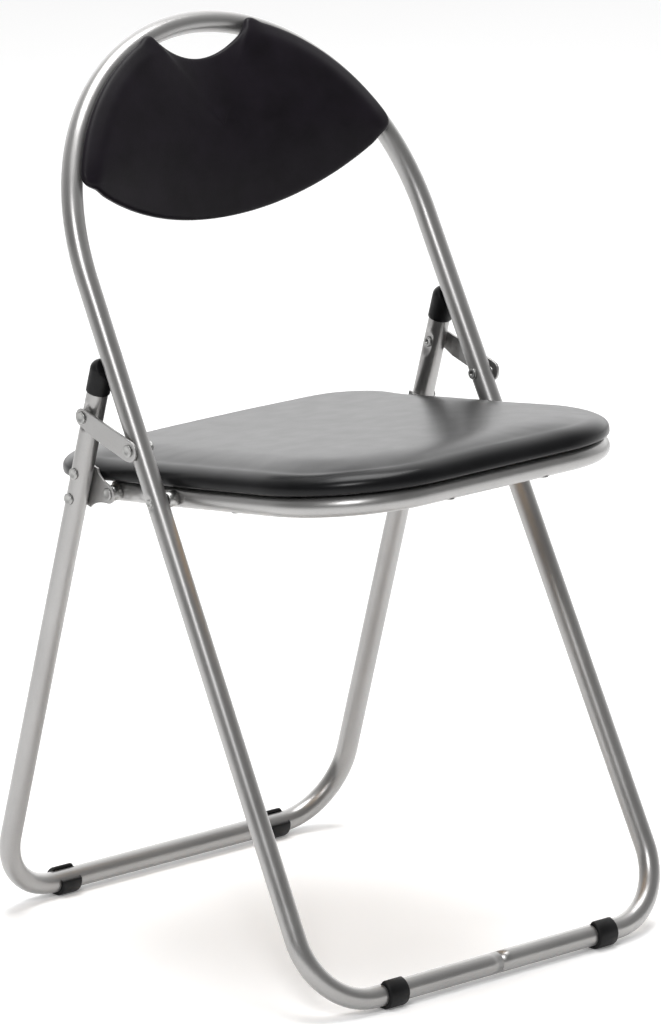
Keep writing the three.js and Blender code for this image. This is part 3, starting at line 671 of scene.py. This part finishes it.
def pins():
    """Every rivet's numbers are radius, distance of its seating face from the middle plane, thickness."""
    seat_x = front_half_at(SEAT_PIVOT_U)
    link_hole = rear_point(0, 0, LEG_PIVOT_V)
    link_head = (5.4, LINK_X + LINK_T + 0.05, 1.9)
    bracket_inner = BRACKET_X - BRACKET_T
    for word, side in SIDES:
        tail = (4.8, 190.0, 1.4)
        pin = rivet(f"link_rivet_{word}_fine", LINK_PIVOT, side, link_head, PIN_R, tail, True)
        dress(pin, ZINC, "front_frame", FASTENERS, f"link_rivet_{word}")
        pin = rivet(f"link_pin_outer_{word}_fine", link_hole, side, link_head, PIN_R, (PIN_R, LINK_X, 0))
        dress(pin, ZINC, f"{word}_link", FASTENERS, f"link_pin_outer_{word}")
        tail = (4.6, REAR_HALF - TUBE_R + 1.6, 1.4)
        pin = rivet(f"link_pin_inner_{word}_fine", link_hole, side, (PIN_R, 210.0, 0), PIN_R, tail, True)
        dress(pin, ZINC, "rear_legs", FASTENERS, f"link_pin_inner_{word}")
        head = (3.6, seat_x + TUBE_R - 0.9, 1.2)
        tail = (4.6, SEAT_HALF - TUBE_R + 2.0, 1.6)
        pin = rivet(f"seat_pivot_rivet_{word}_fine", SEAT_PIVOT, side, head, 2.9, tail, True)
        dress(pin, ZINC, "front_frame", FASTENERS, f"seat_pivot_rivet_{word}")
        near = SEAT_HALF + TUBE_R - 2.0
        far = seat_x - TUBE_R + 0.6
        bush = ring(f"seat_pivot_bush_{word}_fine", SEAT_PIVOT, side, near, far)
        dress(bush, ZINC, "front_frame", FASTENERS, f"seat_pivot_bush_{word}")
        head = (5.5, BRACKET_X + 0.1, 1.1)
        tail = (4.8, 168.0, 1.5)
        pin = rivet(f"leg_pivot_rivet_{word}_fine", LEG_PIVOT, side, head, PIN_R, tail, True)
        dress(pin, ZINC, "seat", FASTENERS, f"leg_pivot_rivet_{word}")
        bush = ring(f"leg_pivot_bush_{word}_fine", LEG_PIVOT, side, 178.4, bracket_inner - 0.2)
        dress(bush, ZINC, "seat", FASTENERS, f"leg_pivot_bush_{word}")
        for place, v in BRACKET_HOLES.items():
            head = (5.2, REAR_HALF + TUBE_R - 0.5, 2.1)
            tail = (4.5, bracket_inner - 0.1, 1.4)
            name = f"bracket_rivet_{place}_{word}"
            pin = rivet(name + "_fine", rear_point(0, 0, v), side, head, 2.8, tail, True)
            dress(pin, ZINC, "rear_legs", FASTENERS, name)


# ------------------------------------------------------------------ links, brackets, caps, feet
def links():
    """Flat bars, rounded at both ends, wider on the side that faces down and back."""
    far = rear_point(0, 0, LEG_PIVOT_V)
    span = Vector((0, far.y - LINK_PIVOT.y, far.z - LINK_PIVOT.z))
    length = span.length
    up = span.normalized()
    across = Vector((0, up.z, -up.y))
    upper, lower, low_end, end_r = -9, 10.5, -9.5, 8
    outline = [(upper, 0)] + arc(0, length, end_r, 180, 0, 18)
    outline += [(end_r + 0.6, length - 5), (lower, length - 15), (lower, 4)]
    outline += bezier((lower, 4), (lower, low_end), (0, low_end), 8)[1:]
    outline += bezier((0, low_end), (upper, -9), (upper, 0), 8)[1:-1]
    for word, side in SIDES:
        base = Vector((side * LINK_X, LINK_PIVOT.y, LINK_PIVOT.z))

        def place(a, b, t, base=base, side=side):
            return base + across * a + up * b + Vector((side * t, 0, 0))

        obj = plate(f"link_{word}_fine", outline, place, LINK_T)
        bevelled(obj, 0.55)
        applied(obj)
        dress(obj, PAINT, f"{word}_link", STEEL, f"link_{word}")


def brackets():
    """Plates inside the rear legs, with an ear that reaches forward to the pivot."""
    base = rear_point(0, 0, 0)
    ear_n = (LEG_PIVOT - base).dot(rear_point(0, 1, 0) - base)
    ear_v = (LEG_PIVOT - base).dot(rear_point(0, 0, 1) - base)
    back, front, top, bottom = 6.5, -8, 436, 398
    outline = [(back, bottom), (back, top - 1.5), (front, top)]
    outline += bezier((front, top), (-11, 428), (ear_n - 1, ear_v + EAR_R), 10)[1:]
    outline += arc(ear_n, ear_v, EAR_R, 100, 262, 18)
    outline += bezier(outline[-1], (-12, 406), (front, bottom - 0.5), 10)[1:]
    for word, side in SIDES:

        def place(a, b, t, side=side):
            return rear_point(side * (BRACKET_X - t), a, b)

        obj = plate(f"leg_bracket_{word}_fine", outline, place, BRACKET_T)
        bevelled(obj, 0.5)
        applied(obj)
        dress(obj, PAINT, "rear_legs", STEEL, f"leg_bracket_{word}")


def caps():
    """Moulded ferrules with a domed top, flattened in front where they lean on the front tube."""
    inner = TUBE_R + 0.15
    dome_start = CAP_END_V - CAP_DOME
    profile = [(inner, CAP_START_V), (CAP_R - 0.3, CAP_START_V), (CAP_R, CAP_START_V + 0.4)]
    profile += [(CAP_R, v) for v in np.linspace(CAP_START_V + 2, dome_start, 8)]
    for i in range(1, 11):
        a = i / 11 * math.pi / 2
        profile.append((CAP_R * math.cos(a), dome_start + CAP_DOME * math.sin(a)))
    profile += [(0.0, CAP_END_V), (0.0, LEG_END_V + 0.2), (inner, LEG_END_V + 0.2)]
    axis = rear_point(0, 0, 1) - rear_point(0, 0, 0)
    normal = (front_point(0, 1, 0) - front_point(0, 0, 0)).normalized()
    limit = front_point(0, TUBE_R + CAP_LEAN_GAP, 0)
    soft = 0.8
    for word, side in SIDES:
        obj = lathe(f"leg_cap_{word}_fine", profile, rear_point(side * REAR_HALF, 0, 0), axis, 56)
        for vert in obj.data.vertices:
            co = vert.co / MM
            deep = (co - limit).dot(normal)
            if deep < soft:
                keep = soft * math.exp((deep - soft) / (soft * 4)) * 0.5
                vert.co = (co + normal * (keep - deep)) * MM
        outward(obj)
        dress(obj, PLASTIC, "rear_legs", BLACK_PLASTIC, f"leg_cap_{word}")


def foot_pad(name, x, y, open_at):
    """A spring clip round the crossbar with a flat sole and rounded lips."""
    inner = TUBE_R + 0.12
    mid = (inner + CLIP_R) / 2
    lip_r = (CLIP_R - inner) / 2
    start, end = open_at + CLIP_OPENING / 2, open_at - CLIP_OPENING / 2 + 360

    def lip(at, turned):
        """The half-round end of the strip, without its first and last point."""
        around = math.radians(at)
        centre = (mid * math.cos(around), mid * math.sin(around))
        return arc(*centre, lip_r, at + turned, at + turned + 180, 8)[1:-1]

    section = [(a, max(b, -AXLE_Z)) for a, b in arc(0, 0, CLIP_R, start, end, 56)]
    section += lip(end, 0)
    section += arc(0, 0, inner, end, start, 56)
    section += lip(start, 180)
    stations = [(-0.5, 0.9), (-0.47, 0.3), (-0.42, 0.0), (0.42, 0.0), (0.47, 0.3), (0.5, 0.9)]
    count = len(section)
    verts, faces = [], []
    for t, inset in stations:
        sole = 0.6 * inset - AXLE_Z
        for py, pz in section:
            r = math.hypot(py, pz)
            k = (r - inset) / r if r > mid else 1.0
            verts.append(Vector((x + t * CLIP_W, y + py * k, AXLE_Z + max(pz * k, sole))))
    for s in range(len(stations) - 1):
        for k in range(count):
            q = (k + 1) % count
            a, b = s * count, (s + 1) * count
            faces.append((a + k, a + q, b + q, b + k))
    last = (len(stations) - 1) * count
    faces.append(tuple(range(count)))
    faces.append(tuple(last + k for k in range(count - 1, -1, -1)))
    obj = new_object(name, verts, faces)
    outward(obj)
    shade_sharp(obj, 50)
    return obj


def feet():
    bars = (
        ("front", "front_frame", -HALF_BASE, FRONT_CLIP_OPEN_AT),
        ("rear", "rear_legs", HALF_BASE, REAR_CLIP_OPEN_AT),
    )
    for word, _ in SIDES:
        for bar, body, y, open_at in bars:
            node = f"{bar}_foot_pad_{word}"
            low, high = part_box(node)
            pad = foot_pad(node + "_fine", (low.x + high.x) / 2 / MM, y, open_at)
            dress(pad, PLASTIC, body, BLACK_PLASTIC, node)


# ------------------------------------------------------------------ boards and cushions
def dish(x, u):
    """How far the back pad is set back from its rim's plane."""
    up = max(0.0, u - ARCH_START) / DISH_HALF_U
    return PAD_DISH * max(0.0, 1 - (x / DISH_HALF_X) ** 2 - up * up)


def pad_outline(inset):
    """The back pad across x and up the frame: slot, horn, arch, tip, bottom, and the same mirrored."""
    right = []
    for i in range(15):
        x = i / 14 * SLOT_HALF
        right.append((x, SLOT_BOTTOM_U + 0.0071 * x * x))
    horn_foot, horn_side = (SLOT_HALF, 847.7), (53, 858)
    right += bezier(horn_foot, (49.5, 851.5), horn_side, 5)[1:]
    right += bezier(horn_side, (56.5, 864.5), (66, 858.6), 6)[1:]
    first = math.acos((70 / FRONT_HALF_TOP) ** (ARCH_SIDE_POWER / 2))
    for i in range(25):
        right.append(arch(first + (PAD_TIP_ARCH - first) * i / 24))
    right += bezier(right[-1], (184, 741), (PAD_BOTTOM_HALF, 735.5), 8)[1:]
    for i in range(1, 19):
        x = PAD_BOTTOM_HALF * (1 - i / 18)
        k = x / 100
        right.append((x, PAD_BOTTOM_U + 11.4 * k ** 2 + 0.8 * k ** 4))
    points = right + [(-x, u) for x, u in reversed(right[1:-1])]
    moved = []
    for i, (x, u) in enumerate(points):
        a = points[i - 1]
        b = points[(i + 1) % len(points)]
        length = math.hypot(b[0] - a[0], b[1] - a[1])
        moved.append((x + (b[1] - a[1]) / length * inset, u - (b[0] - a[0]) / length * inset))
    return moved


def seat_outline(inset):
    half, front, rear = CUSHION_HALF - inset, CUSHION_FRONT - inset, CUSHION_REAR + inset
    rf, rr = CUSHION_CORNER_FRONT - inset, CUSHION_CORNER_REAR - inset
    points = arc(half - rf, front - rf, rf, 0, 90, 30)
    points += arc(-half + rf, front - rf, rf, 90, 180, 30)
    points += arc(-half + rr, rear + rr, rr, 180, 270, 20)
    points += arc(half - rr, rear + rr, rr, 270, 360, 20)
    return evened(points)


def evened(outline, step=6.0):
    """The same closed outline with its points about step apart."""
    ring = [Vector((a, b)) for a, b in outline]
    ring.append(ring[0])
    lengths = [0.0]
    for p, q in zip(ring, ring[1:]):
        lengths.append(lengths[-1] + (q - p).length)
    count = round(lengths[-1] / step)
    marks = np.linspace(0, lengths[-1], count, endpoint=False)
    xs = np.interp(marks, lengths, [p.x for p in ring])
    ys = np.interp(marks, lengths, [p.y for p in ring])
    return list(zip(xs, ys))


def pad_solid(name, outline, place, skin, centre, height, floor):
    """A closed padded form on a flat outline. skin is a list of (inset from the outline, height), from the
    hem over the rolled side. Where its height is None, and on from there to the centre, the top stands at
    height(d), where d is the distance to the outline."""
    steepest, turn_over, rows = 0.4, 12, 14
    edge = [Vector((a, b)) for a, b in outline]
    count = len(edge)
    heart = Vector(centre)
    normals, slants = [], []
    for i, p in enumerate(edge):
        d = edge[(i + 1) % count] - edge[i - 1]
        normal = Vector((-d.y, d.x)).normalized()
        normals.append(normal)
        slants.append(1 / max(normal.dot((heart - p).normalized()), steepest))
    for _ in range(12):
        slants = [(slants[i - 1] + slants[i] + slants[(i + 1) % count]) / 3 for i in range(count)]

    def inward(i, inset):
        """Square to the edge close to it, and turning on to the line to the centre further in."""
        spoke = (heart - edge[i]).normalized() * slants[i]
        return edge[i] + normals[i].lerp(spoke, min(1.0, max(0.0, inset) / turn_over)) * inset

    rim = KDTree(count)
    for i, p in enumerate(edge):
        rim.insert(p.to_3d(), i)
    rim.balance()

    def lifted(q):
        return height(rim.find(q.to_3d())[2])

    verts, faces = [], []
    for inset, level in skin:
        for i in range(count):
            q = inward(i, inset)
            verts.append(place(q.x, q.y, lifted(q) if level is None else level))
    last_inset = skin[-1][0]
    for k in range(1, rows):
        for i in range(count):
            q = heart.lerp(inward(i, last_inset), 1 - k / rows)
            verts.append(place(q.x, q.y, lifted(q)))
    last = len(skin) + rows - 2
    for r in range(last):
        for i in range(count):
            j = (i + 1) % count
            a, b = r * count, (r + 1) * count
            faces.append((a + i, a + j, b + j, b + i))
    top = len(verts)
    verts.append(place(heart.x, heart.y, lifted(heart)))
    faces += [(last * count + i, last * count + (i + 1) % count, top) for i in range(count)]
    under = len(verts)
    verts.append(place(heart.x, heart.y, floor))
    faces += [((i + 1) % count, i, under) for i in range(count)]
    obj = new_object(name, verts, faces)
    outward(obj)
    return obj


def rolled(low, side_top, high, width, bulge=0.0, steps=10):
    """The side of a pad: up from low, then an elliptical turn, that wide, in to its top at high."""
    skin = [(0.6 - 0.5 * bulge, low + 0.8)]
    for i in range(steps + 1):
        a = i / steps * math.pi / 2
        skin.append((width * (1 - math.cos(a)) - bulge, side_top + (high - side_top) * math.sin(a)))
    return skin


def crowned(low, high, reach):
    """A height that rises from low at the edge to high, less and less steeply, until reach inside it."""
    def height(inset):
        t = min(1.0, max(0.0, inset) / reach)
        return low + (high - low) * (1 - (1 - t) ** 2)

    return height


def voxelled(obj, size):
    mod = obj.modifiers.new("remesh", "REMESH")
    mod.mode = "VOXEL"
    mod.voxel_size = size * MM
    mod.use_smooth_shade = True
    return applied(obj)


def neighbour_mean(mesh):
    """A function that takes a value per point and gives the mean of its neighbours' values."""
    edges = np.empty(len(mesh.edges) * 2, dtype=int)
    mesh.edges.foreach_get("vertices", edges)
    edges = edges.reshape(-1, 2)
    degree = np.bincount(edges.ravel(), minlength=len(mesh.vertices))[:, None].clip(1)

    def mean(values):
        total = np.zeros_like(values)
        np.add.at(total, edges[:, 0], values[edges[:, 1]])
        np.add.at(total, edges[:, 1], values[edges[:, 0]])
        return total / degree

    return mean


def smoothed(obj, times, hold=None):
    """Moves each point half-way to its neighbours' mean, again and again. hold(co) from 0 to 1 says how
    much of a point's move is dropped."""
    mesh = obj.data
    co = np.empty(len(mesh.vertices) * 3)
    mesh.vertices.foreach_get("co", co)
    co = co.reshape(-1, 3)
    held = np.zeros(len(co)) if hold is None else np.array([hold(c) for c in co])
    free = (1 - held)[:, None] * 0.5
    mean = neighbour_mean(mesh)
    for _ in range(times):
        co += (mean(co) - co) * free
    mesh.vertices.foreach_set("co", co.ravel())
    mesh.update()


def fade(value, end, run):
    """1 while value is run or more short of end, falling to 0 at end."""
    return min(1.0, max(0.0, (end - value) / run))


def cloth_move(copy, pinned, pressure=4.0, stiffness=18.0, frames=20):
    """Blows copy up as cloth and gives how far each of its points moves."""
    group = copy.vertex_groups.new(name="held")
    for vert in copy.data.vertices:
        weight = pinned(vert.co)
        if weight > 0:
            group.add([vert.index], weight, "REPLACE")
    mod = copy.modifiers.new("cloth", "CLOTH")
    cloth = mod.settings
    cloth.quality = 6
    cloth.mass = 0.35
    cloth.tension_stiffness = stiffness
    cloth.compression_stiffness = stiffness
    cloth.shear_stiffness = stiffness * 0.6
    cloth.bending_stiffness = 2.5
    cloth.use_pressure = True
    cloth.uniform_pressure_force = pressure
    cloth.vertex_group_mass = group.name
    cloth.pin_stiffness = 1.0
    cloth.effector_weights.gravity = 0
    mod.collision_settings.use_collision = False
    mod.point_cache.frame_start = 1
    mod.point_cache.frame_end = frames
    scene = bpy.context.scene
    scene.frame_start, scene.frame_end = 1, frames
    start = np.array([v.co[:] for v in copy.data.vertices])
    for number in range(1, frames + 1):
        scene.frame_set(number)
    done = copy.evaluated_get(bpy.context.evaluated_depsgraph_get()).data
    move = np.array([v.co[:] for v in done.vertices]) - start
    scene.frame_set(1)
    return start, move


def inflate(obj, pinned, voxel, cap):
    """Blows a voxel copy of the pad up as cloth, then moves the pad's own points as the cloth there moved.
    pinned(co) is 1 where the cover is fixed. No point moves further than cap."""
    copy = obj.copy()
    copy.data = obj.data.copy()
    bpy.context.scene.collection.objects.link(copy)
    voxelled(copy, voxel)
    smoothed(copy, 6)
    start, move = cloth_move(copy, pinned)
    mean = neighbour_mean(copy.data)
    for _ in range(40):
        move = 0.5 * move + 0.5 * mean(move)
    far = np.linalg.norm(move, axis=1).clip(1e-9)
    limit = cap * MM
    move *= (limit * np.tanh(far / limit) / far)[:, None]
    tree = KDTree(len(start))
    for index, point in enumerate(start):
        tree.insert(point, index)
    tree.balance()
    nearest, blur = 16, 0.004
    for vert in obj.data.vertices:
        near = tree.find_n(vert.co, nearest)
        weights = np.array([1 / (distance + blur) for _, _, distance in near])
        shift = (move[[index for _, index, _ in near]] * weights[:, None]).sum(0) / weights.sum()
        vert.co = vert.co + Vector(shift) * (1 - pinned(vert.co))
    bpy.data.objects.remove(copy)


def seat_board():
    def place(a, b, t):
        return seat_point(a, b, SEAT_BOARD_O + t)

    obj = plate("seat_board_fine", seat_outline(10), place, BOARD_T - 1.0)
    bevelled(obj, 0.8, 2)
    applied(obj)
    dress(obj, PLY, "seat", PLYWOOD, "seat_board")


def seat_cushion():
    """Foam under stretched vinyl: the sides roll in under the edge, the top is barely crowned."""
    base = seat_point(0, 0, 0)
    up = (seat_point(0, 0, 1) - base).normalized()
    low = SEAT_BOARD_O - 0.25
    under = low + 2.5

    def pinned(co):
        return fade((Vector(co) / MM - base).dot(up), 16.0, 3.0)

    skin = [(16, under), (15, low), (3.0, low), (0.8, low + 1.2)]
    skin += rolled(low + 2.0, side_top=17.0, high=28.0, width=17.0, bulge=2.0)
    skin += [(22, 28.9), (34, 29.5), (50, None)]
    height = crowned(29.6, 30.4, reach=140)
    outline = seat_outline(0.0)
    obj = pad_solid("seat_cushion_fine", outline, seat_point, skin, CUSHION_CENTRE, height, under)
    inflate(obj, pinned, voxel=6.0, cap=4.0)
    finish_pad(obj, SEAT_VINYL, "seat", "seat_cushion")


def finish_pad(obj, cover, body, node):
    mod = obj.modifiers.new("fine", "SUBSURF")
    mod.levels = mod.render_levels = 1
    applied(obj)
    for poly in obj.data.polygons:
        poly.use_smooth = True
    dress(obj, cover, body, VINYL, node)


def back_board():
    def place(a, b, t):
        return front_point(a, PAD_BACK_N - BACK_BOARD_T + t, b)

    obj = plate("back_board_fine", pad_outline(6), place, BACK_BOARD_T - 1.5)
    voxelled(obj, 2.4)
    set_back(obj)
    smoothed(obj, 4)
    dress(obj, PLASTIC, "front_frame", PLYWOOD, "back_board")


def set_back(obj):
    """Bends a flat pad or board into the dish."""
    behind = (front_point(0, 1, 0) - front_point(0, 0, 0)).normalized()
    up = (front_point(0, 0, 1) - front_point(0, 0, 0)).normalized()
    base = front_point(0, 0, 0)
    for vert in obj.data.vertices:
        co = vert.co / MM
        u = (co - base).dot(up)
        vert.co = (co + behind * dish(co.x, u)) * MM


def back_cushion():
    """Foam over the back board, rolled at its rim and wrapped round to the rear of the hoop."""
    base = front_point(0, 0, 0)
    behind = (front_point(0, 1, 0) - base).normalized()
    under = 2.0

    def thickness(co):
        return PAD_BACK_N - (Vector(co) / MM - base).dot(behind)

    def pinned(co):
        return fade(thickness(co), 5.0, 3.0)

    def rim(co):
        return fade(thickness(co), 10.0, 3.0)

    def place(a, b, t):
        return front_point(a, PAD_BACK_N - t, b)

    skin = [(10, under), (9, -0.2), (1.5, -0.2), (0.4, 0.8)]
    skin += rolled(1.6, side_top=2.8, high=7.6, width=5.0, steps=6)[:-1]
    skin += [(inset, None) for inset in (6.5, 9.5, 13.0, 17.5, 23.0, 29.0)]
    height = crowned(7.0, PAD_T + 3.5, reach=75.0)
    outline = list(reversed(evened(pad_outline(0.0), 4.0)))
    obj = pad_solid("back_cushion_fine", outline, place, skin, PAD_CENTRE, height, under)
    inflate(obj, pinned, voxel=5.0, cap=3.5)
    smoothed(obj, 60, rim)
    set_back(obj)
    finish_pad(obj, PAD_VINYL, "front_frame", "back_cushion")


def screws():
    base = front_point(0, 0, 0)
    up = front_point(0, 0, 1) - base
    forward = front_point(0, -1, 0) - base
    for number in range(1, 5):
        low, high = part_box(f"back_screw_{number}")
        middle = (low + high) / 2 / MM
        seat = front_point(middle.x, TUBE_R + 0.3, (middle - base).dot(up))
        obj = cross_screw(f"back_screw_{number}_fine", seat, forward)
        dress(obj, ZINC, "front_frame", FASTENERS, f"back_screw_{number}")
    base = seat_point(0, 0, 0)
    up = seat_point(0, 0, 1) - base
    forward = seat_point(0, 1, 0) - base
    for number in range(1, 7):
        low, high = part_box(f"seat_screw_{number}")
        middle = (low + high) / 2 / MM
        seat = seat_point(middle.x, (middle - base).dot(forward), -TUBE_R + 0.7)
        obj = cross_screw(f"seat_screw_{number}_fine", seat, up, length=23, height=1.3)
        dress(obj, ZINC, "seat", FASTENERS, f"seat_screw_{number}")


# ------------------------------------------------------------------ stage, light, camera
def stage():
    f = FLOOR_HALF
    corners = [(-f, -f, 0), (f, -f, 0), (f, f, 0), (-f, f, 0)]
    floor = new_object("floor", corners, [(0, 1, 2, 3)], smooth=False)
    mat, tree, shader, where = material("pale_floor")
    shade = ramp(tree, noise(tree, where, 1.2, 3), [(0.3, (0.93, 0.93, 0.93)), (0.7, (0.95, 0.95, 0.95))])
    tree.links.new(shade, shader.inputs["Base Color"])
    shader.inputs["Roughness"].default_value = 0.9
    shader.inputs["Emission Color"].default_value = (1, 1, 1, 1)
    shader.inputs["Emission Strength"].default_value = 0.14
    shader.inputs["Specular IOR Level"].default_value = 0.1
    floor.data.materials.append(mat)


def sky():
    """A studio that is bright low down behind the chair and dim on the camera's side."""
    world = bpy.data.worlds.new("studio")
    bpy.context.scene.world = world
    world.use_nodes = True
    tree = world.node_tree
    place = tree.nodes.new("ShaderNodeTexCoord")
    dot = tree.nodes.new("ShaderNodeVectorMath")
    dot.operation = "DOT_PRODUCT"
    dot.inputs[1].default_value = Vector((0.62, 0.75, 0.12)).normalized()
    tree.links.new(place.outputs["Generated"], dot.inputs[0])
    shades = [(0.0, (0.07,) * 3), (0.45, (0.12,) * 3), (0.75, (0.35,) * 3), (0.97, (1.0,) * 3)]
    shade = ramp(tree, remap(tree, dot.outputs["Value"], 0, 1, -1, 1), shades)
    back = tree.nodes["Background"]
    tree.links.new(shade, back.inputs["Color"])
    back.inputs["Strength"].default_value = 1.9


def area(name, at, aim, size, power):
    light = bpy.data.lights.new(name, "AREA")
    light.shape = "RECTANGLE"
    light.size, light.size_y = size
    light.energy = power
    obj = bpy.data.objects.new(name, light)
    obj.location = at
    obj.rotation_euler = (Vector(aim) - Vector(at)).to_track_quat("-Z", "Y").to_euler()
    bpy.context.scene.collection.objects.link(obj)


def camera():
    """A long lens, square to the chair's middle from its front left and a little above."""
    data = bpy.data.cameras.new("camera")
    data.sensor_width = 36.0
    data.lens = 298.91
    data.clip_end = 200
    obj = bpy.data.objects.new("camera", data)
    aim = Vector((0, -0.00095, 0.37397))
    az, el, far = math.radians(-42.004), math.radians(15.137), 7.4396
    back = Vector((math.sin(az) * math.cos(el), -math.cos(az) * math.cos(el), math.sin(el)))
    obj.location = aim + back * far
    obj.rotation_euler = (-back).to_track_quat("-Z", "Y").to_euler()
    bpy.context.scene.collection.objects.link(obj)
    bpy.context.scene.camera = obj


camera()
stage()
sky()
area("key", (-2.7, -2.2, 3.2), (0, 0, 0.5), (1.1, 1.1), 75)
area("top", (0.3, 0.2, 4.2), (0, 0, 0.3), (2.4, 2.4), 150)
bpy.context.scene.view_settings.view_transform = "Standard"

front_frame()
rear_legs()
seat_tube()
pins()
links()
brackets()
caps()
feet()
seat_board()
seat_cushion()
back_board()
back_cushion()
screws()
sleeve = frame["nodes"]["front_crossbar_sleeve"].data
sleeve.materials.clear()
sleeve.materials.append(ZINC)

bpy.context.view_layer.update()
